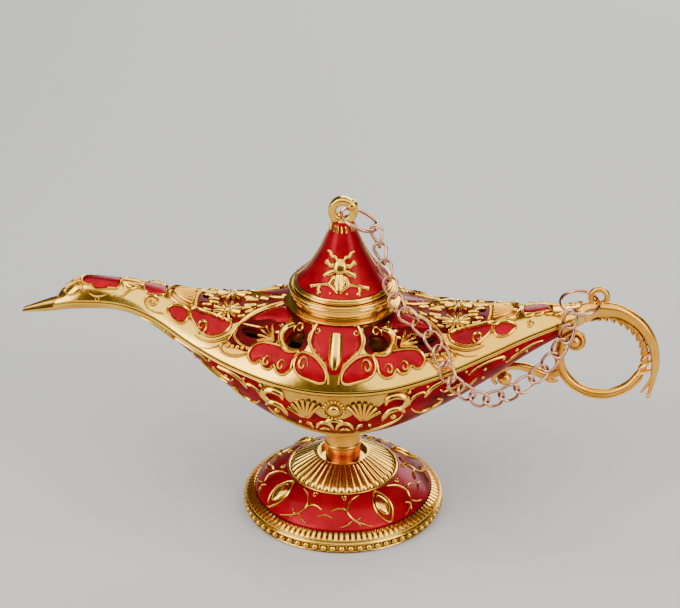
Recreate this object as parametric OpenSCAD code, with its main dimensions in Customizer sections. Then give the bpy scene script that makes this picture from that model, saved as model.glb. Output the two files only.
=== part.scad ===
// Footed oil lamp of the genie-lamp kind: a leaf-shaped cast body with a pierced upper shell,
// an open spout, a lift-off lid held by a curb chain, a scrolled loop handle and a fluted foot.
// Millimetres. X runs from the spout (-) to the handle (+), Z is up, the origin is on the foot's
// axis at table height.

/* [Body] */
// Reach of the spout tip from the foot's axis
spout_reach = 62.5; // [54:0.5:74]
// Reach of the body's handle end from the foot's axis
tail_reach = 46; // [40:0.5:54]
// Width of the body across its rim
body_w = 36; // [31:0.5:44]
// Height of the rim at its lowest, in the middle
rim_z = 34.2; // [32:0.1:42]
// How far the rim rises towards the spout
rim_rise = 8.7; // [6:0.1:11]
// Height of the upper shell over the rim, in the middle
crown_h = 14.15; // [12:0.05:17]
// Depth of the lower bowl under the rim
bowl_depth = 15.6; // [13:0.1:17]
// Thickness of the cast walls
wall = 0.9; // [0.7:0.05:1.3]
// Height of the upright edge of the rim band
lip_h = 1; // [0.7:0.1:1.5]
// Width of the flat land under the rim, where the two shells meet
land_w = 2.2; // [1.8:0.1:3]
// Gap left between pieces that seat on each other
seat_gap = 0.05; // [0.02:0.01:0.1]

/* [Openwork] */
// Size of the four openings beside the collar
near_hole_d = 3.4; // [2.4:0.1:4]
// Place of those openings along the body from the lid's middle
near_hole_x = 7.8; // [7:0.1:8.6]
// Place of those openings across the body from the lid's middle
near_hole_y = 11.1; // [10.6:0.1:11.8]
// Length of the four slots further along the shell
far_slot_l = 4.6; // [3:0.1:6]
// Width of those slots
far_slot_w = 1.9; // [1.2:0.1:2.4]
// Place of those slots along the body from the lid's middle
far_slot_x = 16.4; // [15:0.1:18]
// Place of those slots across the body from the lid's middle
far_slot_y = 8.4; // [7.6:0.1:9]
// Angle between those slots and the body's long axis
far_slot_turn = 22; // [15:1:30]
// Size of the small openings near the spout and the handle
end_hole_d = 1.5; // [1:0.1:2]
// Place of those holes along the body from the lid's middle
end_hole_x = 26.6; // [25:0.1:28]
// Place of those holes across the body from the lid's middle
end_hole_y = 1.4; // [1.2:0.1:1.8]

/* [Collar and lid] */
// Radius of the collar's throat, which the lid's skirt drops into
throat_r = 8.4; // [7.6:0.1:9]
// Clearance between the throat and the skirt
skirt_gap = 0.3; // [0.2:0.05:0.5]
// Thickness of the collar's wall
collar_wall = 1.6; // [1.2:0.1:2]
// Height of the collar over the upper shell
collar_h = 3.5; // [2.6:0.1:5]
// Depth of the lid's skirt in the throat
skirt_h = 3.2; // [2:0.1:4]
// Height of the lid from its ring to its tip
lid_h = 12.2; // [10:0.1:16]
// Height of the gold ring round the lid
lid_ring_h = 1.1; // [0.8:0.1:1.6]
// Outer size of the loop on the lid's tip
lid_eye_d = 5.8; // [5:0.1:7]
// Thickness of the bar of that loop
lid_eye_bar = 1.6; // [1.2:0.1:1.8]

/* [Foot] */
// Diameter of the foot
foot_d = 40.5; // [36:0.5:48]
// Height of the foot's edge
foot_edge_h = 2.3; // [1.8:0.1:3]
// Height of the enamelled dome at the fluted cone
dome_h = 8.1; // [7:0.1:10]
// Radius of the fluted cone at its base
flute_r = 10.7; // [9:0.1:12]
// Height of the fluted cone
flute_h = 3.6; // [3:0.1:5]
// Number of flutes round the cone
flutes = 40; // [24:2:52]
// Number of teeth round the dome
teeth = 106; // [60:2:120]
// Number of scallops round the foot's edge
scallops = 68; // [40:2:80]
// Thickness of the enamel
enamel_t = 0.5; // [0.3:0.05:0.7]
// Radius of the stem
stem_r = 3.4; // [2.8:0.1:4]
// Shank diameter of the screw that holds the stem
screw_d = 2.5; // [2:0.1:3]

/* [Handle] */
// Radius of the handle's round loop, along the middle of its bar
loop_r = 8; // [7:0.1:9]
// Thickness of the round loop's bar
loop_bar = 1.9; // [1.5:0.1:2.2]
// Thickness of the cast top bar where it leaves the body
top_bar = 3; // [2.4:0.1:3.4]
// Outer size of the eye on the handle
handle_eye_d = 4.2; // [3.8:0.1:5]
// Thickness of that eye's bar
handle_eye_bar = 1.1; // [0.9:0.05:1.3]

/* [Chain] */
// Outer length of a link
link_l = 4.75; // [4.5:0.05:5]
// Outer width of a link
link_w = 3.3; // [3.1:0.05:3.5]
// Wire of the links
link_wire = 0.6; // [0.5:0.05:0.65]
// Free play where one link hangs in the next
link_play = 0.2; // [0.12:0.01:0.22]
// Twist of each link from end to end
link_twist = 80; // [60:5:90]
// Outer size of the two jump rings
ring_d = 8; // [7.6:0.1:8.6]
// Wire of the jump rings
ring_wire = 0.7; // [0.6:0.05:0.8]

/* [Hidden] */
n_links = 21;
function two_digits(i) = i < 10 ? str("0", i) : str(i);

gold = "goldenrod";
red = "crimson";
rose = "rosybrown";

// ---------------------------------------------------------------- shape of the body
// Each row is one section of the body, from the spout to the handle: its place along the spout (-)
// or the tail (+), its half width, and its rim rise, crown height and keel depth, all as shares of
// spout_reach or tail_reach, half of body_w, rim_rise, crown_h and bowl_depth.
hull = [
  [-1.000, 0.05, 0.62, 0.05, 0.03],
  [-0.912, 0.13, 0.82, 0.16, 0.09],
  [-0.816, 0.17, 0.98, 0.30, 0.11],
  [-0.688, 0.20, 1.00, 0.28, 0.10],
  [-0.576, 0.30, 0.83, 0.30, 0.15],
  [-0.448, 0.51, 0.46, 0.40, 0.28],
  [-0.320, 0.72, 0.21, 0.51, 0.59],
  [-0.160, 0.93, 0.05, 0.71, 0.87],
  [ 0.000, 1.00, 0.00, 1.00, 1.00],
  [ 0.217, 0.94, 0.08, 0.69, 0.90],
  [ 0.435, 0.74, 0.30, 0.45, 0.70],
  [ 0.609, 0.53, 0.57, 0.33, 0.53],
  [ 0.761, 0.34, 0.83, 0.25, 0.35],
  [ 0.891, 0.22, 1.05, 0.20, 0.22],
  [ 1.000, 0.12, 1.22, 0.20, 0.12]];
crown_power = 2.5;      // how square-shouldered the upper shell's arch is
bowl_share = 0.95;      // the bowl's half width as a share of the rim's
section_steps = 3;      // sections drawn between two rows of the hull
arch_steps = 16;        // steps round each arch
hood_start = 1.1;       // the row where the hood over the spout begins

// A row between the rows of a table, on a smooth curve through them
function blend_rows(t, i) = let (
    n = len(t) - 1,
    k = min(floor(i), n - 1),
    u = i - k,
    a = k > 0 ? t[k - 1] : 2 * t[0] - t[1],
    b = t[k],
    c = t[k + 1],
    d = k + 2 <= n ? t[k + 2] : 2 * t[n] - t[n - 1])
  0.5 * (2 * b + (c - a) * u + (2 * a - 5 * b + 4 * c - d) * u * u + (3 * b - a - 3 * c + d) * u * u * u);

// A section in real sizes: [x, half width, rim height, crown height, keel height]
function section(i) = let (r = blend_rows(hull, i), rim = rim_z + rim_rise * r[2])
  [r[0] * (r[0] < 0 ? spout_reach : tail_reach), r[1] * body_w / 2, rim,
   rim + crown_h * r[3], rim - bowl_depth * r[4]];
function find_row(x, lo, hi, n) = n == 0 ? (lo + hi) / 2
  : let (mid = (lo + hi) / 2) section(mid)[0] < x ? find_row(x, mid, hi, n - 1) : find_row(x, lo, mid, n - 1);
function section_at(x) = section(find_row(x, 0, len(hull) - 1, 24));
// Height of the upper shell over a point
function shell_z(x, y) = let (s = section_at(x), share = min(abs(y) / s[1], 1))
  s[2] + lip_h + (s[3] - s[2] - lip_h) * (1 - pow(share, crown_power));

hull_rows = [for (i = [0:section_steps * (len(hull) - 1)]) i / section_steps];
hood_rows = [for (i = hull_rows) if (i > hood_start) i];

// A solid through closed sections of equal point counts; caps lists the faces that close an end
module loft(sections, caps) {
  m = len(sections[0]);
  n = len(sections);
  ends = is_undef(caps) ? [[for (j = [0:m - 1]) j]] : caps;
  polyhedron(
    points = [for (s = sections) each s],
    faces = concat(
      [for (i = [0:n - 2], j = [0:m - 1]) let (k = (j + 1) % m)
        each [[i * m + j, i * m + k, (i + 1) * m + j], [i * m + k, (i + 1) * m + k, (i + 1) * m + j]]],
      [for (f = ends) [for (j = [len(f) - 1:-1:0]) f[j]]],
      [for (f = ends) [for (j = f) (n - 1) * m + j]]),
    convexity = 8);
}

// The faces across a U-shaped section: its outer arch has arch_steps steps from point `first`, and its
// inner arch half as many, running back from point `inner`
function arch_caps(first, inner) = [for (j = [0:arch_steps / 2 - 1]) let (k = first + arch_steps - 2 * j)
  [k - 2, k - 1, k, inner + j, inner + j + 1]];

function unit(v) = v / norm(v);
function turned(v, axis, a) =
  v * cos(a) + cross(axis, v) * sin(a) + axis * (axis * v) * (1 - cos(a));

// ---------------------------------------------------------------- body
shell_top_z = shell_z(0, throat_r + collar_wall);
bowl_bottom_z = rim_z - bowl_depth;

function upper_section(i) = let (
    s = section(i), x = s[0], w = s[1], rim = s[2] + seat_gap,
    land = min(land_w, 0.45 * w),
    t = min(wall, 0.3 * (s[3] - rim)),
    arch = s[3] - rim - lip_h)
  concat(
    [[x, -w, rim]],
    [for (k = [0:arch_steps]) let (q = 2 * k / arch_steps - 1)
      [x, q * w, rim + lip_h + arch * (1 - pow(abs(q), crown_power))]],
    [[x, w, rim]],
    [for (k = [arch_steps:-2:0]) let (q = 2 * k / arch_steps - 1)
      [x, q * (w - land), rim + (s[3] - t - rim) * (1 - pow(abs(q), crown_power))]]);

function lower_section(i) = let (
    s = section(i), x = s[0], w = bowl_share * s[1], depth = s[2] - s[4],
    t = min(wall, 0.4 * w), tz = min(wall, 0.5 * depth))
  concat(
    [for (k = [0:arch_steps]) let (a = 180 * k / arch_steps) [x, w * cos(a), s[2] - depth * sin(a)]],
    [for (k = [arch_steps:-2:0]) let (a = 180 * k / arch_steps)
      [x, (w - t) * cos(a), s[2] - (depth - tz) * sin(a)]]);

boss_r = stem_r + 0.5;
boss_z = bowl_bottom_z - 0.8;

module lower_bowl() color(gold) difference() {
  union() {
    loft([for (i = hull_rows) lower_section(i)], arch_caps(0, arch_steps + 1));
    translate([0, 0, boss_z]) cylinder(r = boss_r, h = wall + 1.4, $fn = 64);
  }
}

module pierced(x, y, d) {
  for (sx = [-1, 1], sy = [-1, 1]) translate([sx * x, sy * y, rim_z])
    cylinder(d = d, h = 2 * crown_h, $fn = 32);
}

module pierced_slot(x, y, l, w, turn) {
  for (sx = [-1, 1], sy = [-1, 1]) translate([sx * x, sy * y, rim_z]) rotate(sx * sy * turn)
    linear_extrude(2 * crown_h) {
      square([l - w, w], center = true);
      for (e = [-1, 1]) translate([e * (l - w) / 2, 0]) circle(d = w, $fn = 24);
    }
}

module upper_shell() color(gold) difference() {
  loft([for (i = hood_rows) upper_section(i)], concat(
    arch_caps(1, arch_steps + 3),
    [[arch_steps + 1, arch_steps + 2, arch_steps + 3], [arch_steps + 3 + arch_steps / 2, 0, 1]]));
  translate([0, 0, rim_z]) cylinder(r = throat_r + collar_wall + seat_gap, h = 2 * crown_h, $fn = 96);
  pierced(near_hole_x, near_hole_y, near_hole_d);
  pierced_slot(far_slot_x, far_slot_y, far_slot_l, far_slot_w, -far_slot_turn);
  pierced(end_hole_x, end_hole_y, end_hole_d);
}

// ---------------------------------------------------------------- collar and lid
collar_r = throat_r + collar_wall;
foot_flare = 1;
collar_top_z = shell_top_z + collar_h;
skirt_r = throat_r - skirt_gap;
lid_r = collar_r - 0.5;
lid_seat_z = collar_top_z + seat_gap;
cone_z = lid_seat_z + lid_ring_h;
lid_tip_z = lid_seat_z + lid_h + lid_ring_h;
lid_eye_r = (lid_eye_d - lid_eye_bar) / 2;
lid_eye_z = lid_tip_z + lid_eye_d / 2 - lid_eye_bar * 0.55;

module lid_collar() color(gold) rotate_extrude($fn = 128) polygon([
  [throat_r, shell_top_z - 2], [throat_r, collar_top_z - 0.2], [throat_r + 0.2, collar_top_z],
  [collar_r + 0.1, collar_top_z], [collar_r + 0.35, collar_top_z - 0.35],
  [collar_r + 0.1, collar_top_z - 0.75], [collar_r - 0.3, collar_top_z - 0.9],
  [collar_r, collar_top_z - 1.3], [collar_r + 0.05, collar_top_z - 2],
  [collar_r - 0.35, collar_top_z - 2.6], [collar_r - 0.1, collar_top_z - 2.9],
  [collar_r + foot_flare, shell_top_z + 0.35], [collar_r + foot_flare, shell_top_z + 0.15],
  [collar_r, shell_top_z + 0.15], [collar_r, shell_top_z - 2]]);

module lid_skirt() color(gold) rotate_extrude($fn = 96) polygon([
  [skirt_r - wall, lid_seat_z - skirt_h], [skirt_r - 0.2, lid_seat_z - skirt_h],
  [skirt_r, lid_seat_z - skirt_h + 0.3], [skirt_r, lid_seat_z - seat_gap],
  [skirt_r - wall, lid_seat_z - seat_gap]]);

module lid_ring() color(gold) rotate_extrude($fn = 128) polygon([
  [skirt_r - wall, lid_seat_z], [lid_r - 0.2, lid_seat_z], [lid_r, lid_seat_z + 0.3],
  [lid_r - 0.05, lid_seat_z + 0.55], [lid_r - 0.3, lid_seat_z + 0.7],
  [lid_r - 0.3, cone_z - 0.1], [lid_r - 0.4, cone_z], [skirt_r - wall, cone_z]]);

// The cone's swept outline: wide and low at the ring, steep towards the tip
cone_outline = [[0.94, 0.00], [0.87, 0.06], [0.75, 0.16], [0.61, 0.31], [0.47, 0.50],
                [0.355, 0.70], [0.25, 0.88], [0.2, 1.00]];
cone_steps = 24;
cone_curve = [for (i = [0:cone_steps]) blend_rows(cone_outline, i * (len(cone_outline) - 1) / cone_steps)];

module lid_cone() color(red) rotate_extrude($fn = 128) polygon(concat(
  [for (p = cone_curve) [p[0] * lid_r, cone_z + seat_gap + p[1] * (lid_h - seat_gap)]],
  [[0, lid_tip_z], [0, lid_tip_z - 2 * wall]],
  [for (i = [cone_steps - 6:-1:0]) let (p = cone_curve[i])
    [p[0] * lid_r - 1.3 * wall, cone_z + max(seat_gap, p[1] * lid_h - 0.35 * wall)]]));

module upright_eye(r, bar, cut) difference() {
  rotate([90, 0, 0]) rotate_extrude($fn = 64) translate([r, 0]) circle(d = bar, $fn = 32);
  translate([-2 * r - bar, -bar, -2 * r - bar]) cube([4 * r + 2 * bar, 2 * bar, 2 * r + bar + cut]);
}

module lid_eye() color(gold) translate([0, 0, lid_eye_z])
  upright_eye(lid_eye_r, lid_eye_bar, lid_tip_z + seat_gap - lid_eye_z);

// ---------------------------------------------------------------- foot and stem
foot_r = foot_d / 2;
tooth_out_r = foot_r - 1.2;
tooth_in_r = tooth_out_r - 1.3;
dome_r = tooth_in_r - 0.1;
dome_edge_z = foot_edge_h + 1.6;
function dome_z(r) = let (u = (r - flute_r) / (dome_r - flute_r))
  dome_h - (dome_h - dome_edge_z) * (0.45 * u + 0.55 * u * u);
dome_steps = 8;
dome_rs = [for (i = [0:dome_steps]) flute_r + 0.2 + (dome_r - flute_r - 0.2) * i / dome_steps];
web_t = 1.2;
hub_z = dome_h - 0.4;

module foot_casting() color(gold) difference() {
  rotate_extrude($fn = 160) polygon(concat(
    [[stem_r + 0.05, hub_z - web_t], [stem_r + 0.05, hub_z], [flute_r - 0.1, hub_z],
     [flute_r - 0.05, dome_h + 0.15], [flute_r + 0.2, dome_z(flute_r + 0.2)]],
    [for (r = dome_rs) [r, dome_z(r) - enamel_t]],
    [[dome_r, foot_edge_h + 0.3], [tooth_out_r + 0.05, foot_edge_h + 0.3], [tooth_out_r + 0.1, foot_edge_h],
     [foot_r - 0.5, foot_edge_h - 0.05], [foot_r - 0.35, foot_edge_h - 0.4], [foot_r - 0.35, 0.5],
     [foot_r - 0.7, 0], [foot_r - 1.8, 0], [foot_r - 2, 0.6]],
    [for (i = [dome_steps:-1:0]) let (r = dome_rs[i]) [r - 0.6, dome_z(r) - enamel_t - web_t]],
    [[flute_r - 1.2, hub_z - web_t]]));
  for (i = [0:scallops - 1]) rotate(i * 360 / scallops)
    translate([foot_r - 0.12, 0, 0.35]) cylinder(d = 0.7, h = foot_edge_h - 1, $fn = 16);
}

tooth_z = foot_edge_h + 0.3 + seat_gap;
tooth_h = 0.95;
tooth_foot_h = 0.35;                   // height of the teeth's upright outer face
tooth_run = tooth_out_r - tooth_in_r - 0.4;
tooth_gap = 0.4;
tooth_cut = 0.18;
module foot_tooth_ring() color(gold) difference() {
  rotate_extrude($fn = 160) polygon([
    [tooth_in_r, tooth_z], [tooth_out_r, tooth_z], [tooth_out_r, tooth_z + tooth_foot_h],
    [tooth_out_r - tooth_run, tooth_z + tooth_h], [tooth_in_r, tooth_z + tooth_h]]);
  slope = atan((tooth_h - tooth_foot_h) / tooth_run);
  for (i = [0:teeth - 1]) rotate(i * 360 / teeth) translate([tooth_out_r, 0, tooth_z + tooth_foot_h])
    rotate([0, slope, 0]) translate([-1.25, -tooth_gap / 2, -tooth_cut]) cube([1.8, tooth_gap, 1]);
}

module foot_enamel() color(red) rotate_extrude($fn = 160) polygon(concat(
  [for (r = dome_rs) [r + (r == dome_rs[0] ? 0.02 : 0), dome_z(r) - enamel_t]],
  [for (i = [dome_steps:-1:0]) let (r = dome_rs[i]) [r + (i == 0 ? 0.02 : 0), dome_z(r)]]));

flute_z = hub_z + seat_gap;
module fluted_cone() color(gold) {
  n = 2 * flutes;
  difference() {
    loft([for (p = [[flute_r - 0.35, 0, 0], [flute_r - 0.3, 0.5, 0.35], [5.5, flute_h - 0.2, 0.25], [5.3, flute_h, 0]])
      [for (i = [0:n - 1]) let (a = -i * 360 / n, r = p[0] - (i % 2) * p[2])
        [r * cos(a), r * sin(a), flute_z + p[1]]]]);
    translate([0, 0, flute_z - 1]) cylinder(r = stem_r + 0.05, h = flute_h + 2, $fn = 64);
    translate([0, 0, flute_z + flute_h - 1]) cylinder(r = 4.7, h = 2, $fn = 64);
  }
}

stem_foot_z = hub_z - web_t;
module stem() color(gold) difference() {
  rotate_extrude($fn = 96) polygon([
    [0, stem_foot_z], [stem_r, stem_foot_z], [stem_r, flute_z + flute_h + 2],
    [stem_r + 0.35, flute_z + flute_h + 2.3], [stem_r + 0.35, flute_z + flute_h + 2.7],
    [stem_r, flute_z + flute_h + 3], [stem_r - 0.1, boss_z - 1.2], [stem_r + 0.3, boss_z - seat_gap],
    [0, boss_z - seat_gap]]);
  translate([0, 0, stem_foot_z - 1]) cylinder(d = screw_d + 0.1, h = 9, $fn = 32);
}

washer_t = 0.6;
module base_washer() color("silver") translate([0, 0, stem_foot_z - seat_gap - washer_t]) difference() {
  cylinder(r = stem_r + 1, h = washer_t, $fn = 64);
  translate([0, 0, -1]) cylinder(d = screw_d + 0.3, h = 3, $fn = 32);
}

module base_screw() color("silver") {
  head_z = stem_foot_z - 2 * seat_gap - washer_t;
  difference() {
    union() {
      translate([0, 0, head_z - 1.3]) cylinder(d1 = 4.2, d2 = 4.8, h = 1.3, $fn = 48);
      translate([0, 0, head_z - 0.1]) cylinder(d = screw_d, h = 8, $fn = 32);
    }
    for (a = [0, 90]) rotate(a) translate([-1.3, -0.3, head_z - 2]) cube([2.6, 0.6, 1.3]);
  }
}

// ---------------------------------------------------------------- handle
tail = section(len(hull) - 1);
loop_c = [tail_reach + 3.6, 0, tail[2] - 9.4];

// A round bar along a path, with its own thickness at each point; the path lies in the XZ plane
module bar(path, ds, sides = 12, flat = 1) {
  n = len(path);
  loft([for (i = [0:n - 1]) let (
      d = unit(path[min(i + 1, n - 1)] - path[max(i - 1, 0)]),
      side = [-d[2], 0, d[0]])
    [for (k = [0:sides - 1]) let (a = 360 * k / sides)
      path[i] + ds[i] / 2 * (side * cos(a) + [0, flat, 0] * sin(a))]]);
}
function smooth(t, steps) = [for (i = [0:steps]) blend_rows(t, i * (len(t) - 1) / steps)];

// The top bar's middle line, from the body's end over the loop to the tail tip: [x, z, thickness]
top_bar_rows = [
  [tail_reach + 0.2, 0.9, 0.95], [tail_reach + 3, 1.2, 1], [tail_reach + 7, 0.7, 0.85],
  [tail_reach + 10.6, -1.7, 0.75], [tail_reach + 13, -5.4, 0.68], [tail_reach + 13.9, -9.6, 0.58],
  [tail_reach + 13.7, -13.6, 0.42], [tail_reach + 13, -17.8, 0.2]];
top_bar_curve = smooth(top_bar_rows, 28);
module handle_top_bar() color(gold)
  bar([for (p = top_bar_curve) [p[0], 0, tail[2] + p[1]]], [for (p = top_bar_curve) top_bar * p[2]]);

// Overlapping leaves along the inside of the top bar
leaf_n = 13;
leaf_first = 103;
leaf_last = -21;
leaf_t = 0.7;
// How far from the loop's middle the top bar's inside lies, in the direction a
function bar_inside(a) = let (
    pts = [for (p = top_bar_curve) [p[0] - loop_c[0], tail[2] + p[1] - loop_c[2], top_bar * p[2] / 2]],
    off = [for (p = pts) abs(atan2(p[1], p[0]) - a)],
    k = search(min(off), off)[0])
  norm([pts[k][0], pts[k][1]]) - pts[k][2];
module handle_leaves() color(gold) translate(loop_c) for (i = [0:leaf_n - 1]) {
  share = i / (leaf_n - 1);
  a = leaf_first + (leaf_last - leaf_first) * share;
  d = 1 + 0.9 * share;
  reach = min(bar_inside(a), loop_r + 1.35) - seat_gap;
  rotate([90, 0, 0]) rotate(a) {
    translate([reach - d / 2, 0, -0.6]) cylinder(d = d, h = 1.2, $fn = 24);
    translate([reach - 0.1 - leaf_t, -0.9, -0.4]) cube([leaf_t, 1.8, 0.8]);
  }
}

module arc_bar(r, d, from, to) rotate([90, 0, 0]) rotate(from)
  rotate_extrude(angle = to - from, $fn = 96) translate([r, 0]) circle(d = d, $fn = 32);

loop_from = 168;
loop_to = 331;
module handle_loop() color(gold) translate(loop_c) arc_bar(loop_r, loop_bar, loop_from, loop_to);

// The loop's free end curls over to a small ball: [x, z, thickness] from the loop's middle
curl_rows = [
  [-7.84, 1.72, 0.9], [-7.55, 3.4, 0.85], [-6.8, 4.8, 0.75], [-5.5, 5.3, 0.65],
  [-4.1, 4.7, 0.55], [-3.55, 3.4, 0.5], [-4.2, 2.15, 0.5], [-5.3, 1.85, 0.45]];
curl_curve = smooth(curl_rows, 18);
module handle_curl() color(gold) translate(loop_c) {
  bar([for (p = curl_curve) [p[0], 0, p[1]]], [for (p = curl_curve) loop_bar * p[2]], 10);
  translate([-5.4, 0, 3.25]) sphere(d = 2.1, $fn = 32);
}

volute_rows = [
  [-8.14, -3.94, 0.5], [-9.6, -4.5, 0.7], [-10.8, -4.4, 0.85], [-12, -3.95, 0.95], [-14.1, -3.1, 0.9],
  [-16.1, -2.8, 0.8], [-17.7, -3.15, 0.7], [-19.4, -4.2, 0.6], [-20.4, -5.5, 0.5], [-20.45, -6.2, 0.45],
  [-19.7, -7, 0.4]];
volute_top = [-16.1, -2.8];             // the middle of the volute's bar where it comes closest to the bowl
volute_gap = 2.27;                     // from there up to the bowl's keel
volute_drop = section_at(loop_c[0] + volute_top[0])[4] - volute_gap - loop_c[2] - volute_top[1];
volute_curve = [for (p = smooth(volute_rows, 22))
  p + [0, volute_drop * min(1, (volute_rows[0][0] - p[0]) / 6), 0]];
module handle_volute() color(gold) translate(loop_c) {
  bar([for (p = volute_curve) [p[0], 0, p[1]]], [for (p = volute_curve) loop_bar * p[2]], 10);
  translate([-18.3, 0, -5.6 + volute_drop]) sphere(d = 2.9, $fn = 40);
}

handle_eye_r = (handle_eye_d - handle_eye_bar) / 2;
handle_eye_c = [tail_reach + 2.6, 0, tail[2] + 3.7];
module handle_eye() color(gold) translate(handle_eye_c)
  upright_eye(handle_eye_r, handle_eye_bar, -0.9);

// ---------------------------------------------------------------- rings and chain
ring_r = (ring_d - ring_wire) / 2;
// A ring as [centre, direction to the eye it hangs in, direction across]
handle_ring_c = handle_eye_c + [-3.6, -1.6, -0.6];
handle_ring_n = unit([0.02, -0.17, 0.985]);
function across(v, n) = unit(v - n * (n * v));
handle_ring_x = across(handle_eye_c - handle_ring_c, handle_ring_n);
handle_ring_y = cross(handle_ring_n, handle_ring_x);
lid_eye_c = [0, 0, lid_eye_z];
lid_ring_x = -unit([0.889, -0.306, -0.361]);
lid_ring_n = unit([0.379, 0, 0.934]);
lid_ring_c = lid_eye_c - ring_r * lid_ring_x;

module ring(c, n, x) {
  y = cross(n, x);
  multmatrix([[x[0], y[0], n[0], c[0]], [x[1], y[1], n[1], c[1]], [x[2], y[2], n[2], c[2]], [0, 0, 0, 1]])
    rotate_extrude($fn = 96) translate([ring_r, 0]) circle(d = ring_wire, $fn = 24);
}
module handle_jump_ring() color(rose) ring(handle_ring_c, handle_ring_n, handle_ring_x);
module lid_jump_ring() color(rose) ring(lid_ring_c, across(lid_ring_n, lid_ring_x), lid_ring_x);

link_pitch = link_l - 2 * link_wire - link_play;
ring_hook = (ring_wire + link_wire + 2 * link_play) / 4;
hang_a = 220;
chain_start = handle_ring_c + ring_r * (handle_ring_x * cos(hang_a) + handle_ring_y * sin(hang_a)) + [0, 0, ring_hook];
end_pull = unit([-1.2, 1.6, 4.4]);     // the way the last link pulls on the lid's ring
chain_end = lid_ring_c - ring_r * lid_ring_x + ring_hook * end_pull;
rim_x = 20.6;
rim_row = section_at(rim_x);
rim_edge = [rim_x, -rim_row[1], rim_row[2]];
collar_edge = [0, 0, collar_top_z];

// The chain's route, from the handle's ring to the lid's: a place to start from, an offset, and the
// share of the slack that hangs there
route = [
  [chain_start, [0, 0, 0], 0],
  [chain_start, [-0.2, 0.3, -3.2], 0],
  [chain_start, [-1.4, 0.2, -8.1], 0.35],
  [chain_start, [-4, -0.4, -13.2], 0.7],
  [chain_start, [-8.1, -1.8, -17.3], 0.95],
  [chain_start, [-12.6, -4.4, -18.9], 1],
  [rim_edge, [6.6, 1.6, -7.2], 0.7],
  [rim_edge, [3.1, 0.2, -3.2], 0.3],
  [rim_edge, [0.9, -1.4, 0.2], 0],
  [rim_edge, [-0.2, -0.6, 3.4], 0],
  [rim_edge, [-2.3, 2.2, 6.3], 0],
  [collar_edge, [14.9, -8.2, -3.3], 0],
  [collar_edge, [12.4, -7.2, -2.4], 0],
  [collar_edge, [10.6, -6.7, 0], 0],
  [chain_end, [2.9, -3.2, -9.3], 0],
  [chain_end, [1.2, -1.6, -4.4], 0],
  [chain_end, [0, 0, 0], 0],
  [chain_end, [-0.6, 0.2, 2.5], 0]];
function route_at(slack) = let (pts = [for (p = route) p[0] + p[1] - [0, 0, slack * p[2]]])
  smooth(pts, 12 * (len(pts) - 1));

// The next point of the route one pitch away from p, as [point, index of the step it lies in]
function next_hook(path, p, i) =
  i >= len(path) - 1 ? [path[len(path) - 1] + unit(path[len(path) - 1] - path[len(path) - 2]) * link_pitch, i]
  : norm(path[i + 1] - p) < link_pitch ? next_hook(path, p, i + 1)
  : let (a = path[i] - p, d = path[i + 1] - path[i],
         b = a * d, c = a * a - link_pitch * link_pitch, dd = d * d,
         u = (-b + sqrt(max(b * b - dd * c, 0))) / dd)
    [path[i] + d * u, i];
function hooks(path, n, p, i) = n == 0 ? [p]
  : let (h = next_hook(path, p, i)) concat([p], hooks(path, n - 1, h[0], h[1]));
function end_error(slack) = let (h = hooks(route_at(slack), n_links, chain_start, 0))
  (h[n_links] - chain_end)[2];
// With more slack hanging, the last hook stops lower
function find_slack(lo, hi, n) = n == 0 ? (lo + hi) / 2
  : let (mid = (lo + hi) / 2) end_error(mid) > 0 ? find_slack(mid, hi, n - 1) : find_slack(lo, mid, n - 1);
chain_slack = find_slack(-6, 12, 16);
hook = hooks(route_at(chain_slack), n_links, chain_start, 0);

// The middle line of one twisted link, lying along X
link_steps = 20;
link_bend_r = (link_w - link_wire) / 2;
link_half = link_l / 2 - link_wire / 2 - link_bend_r;
function link_point(k) = let (
    a = 360 * k / link_steps,
    x = link_bend_r * cos(a) + (cos(a) >= 0 ? link_half : -link_half),
    y = link_bend_r * sin(a),
    t = link_twist * x / link_l)
  [x, y * cos(t), y * sin(t)];
link_sides = 6;
module link_at(c, x, y) {
  z = cross(x, y);
  path = [for (k = [0.5:1:link_steps]) let (p = link_point(k)) c + x * p[0] + y * p[1] + z * p[2]];
  n = len(path);
  points = [for (i = [0:n - 1]) let (
      d = unit(path[(i + 1) % n] - path[(i + n - 1) % n]),
      out = across(path[i] - c, d),
      up = cross(d, out))
    for (k = [0:link_sides - 1]) let (a = 360 * k / link_sides)
      path[i] + link_wire / 2 * (out * cos(a) + up * sin(a))];
  m = link_sides;
  polyhedron(points = points, faces = [for (i = [0:n - 1], j = [0:m - 1]) let (
      e = (i + 1) % n, k = (j + 1) % m)
    each [[i * m + j, e * m + j, i * m + k], [i * m + k, e * m + j, e * m + k]]], convexity = 6);
}
facing = unit([0.1, -0.85, 0.5]);
function link_x(i) = unit(hook[i] - hook[i - 1]);
function link_y(i) = unit(cross(facing, link_x(i)));
// The last links roll until the end of the last one stands square to the ring's wire
rolled_links = 7;
end_x = link_x(n_links);
end_side = turned(link_y(n_links), end_x, link_twist * (0.5 - link_wire / link_l));
ring_side = unit(cross(cross(across(lid_ring_n, lid_ring_x), lid_ring_x), end_x));
end_turn = atan2(end_x * cross(end_side, ring_side), end_side * ring_side);
end_roll = abs(end_turn) > 90 ? end_turn - sign(end_turn) * 180 : end_turn;
module chain_link(i) color(rose) {
  roll = end_roll * max(0, (i - n_links + rolled_links) / rolled_links);
  link_at((hook[i] + hook[i - 1]) / 2, link_x(i), turned(link_y(i), link_x(i), roll));
}

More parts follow.
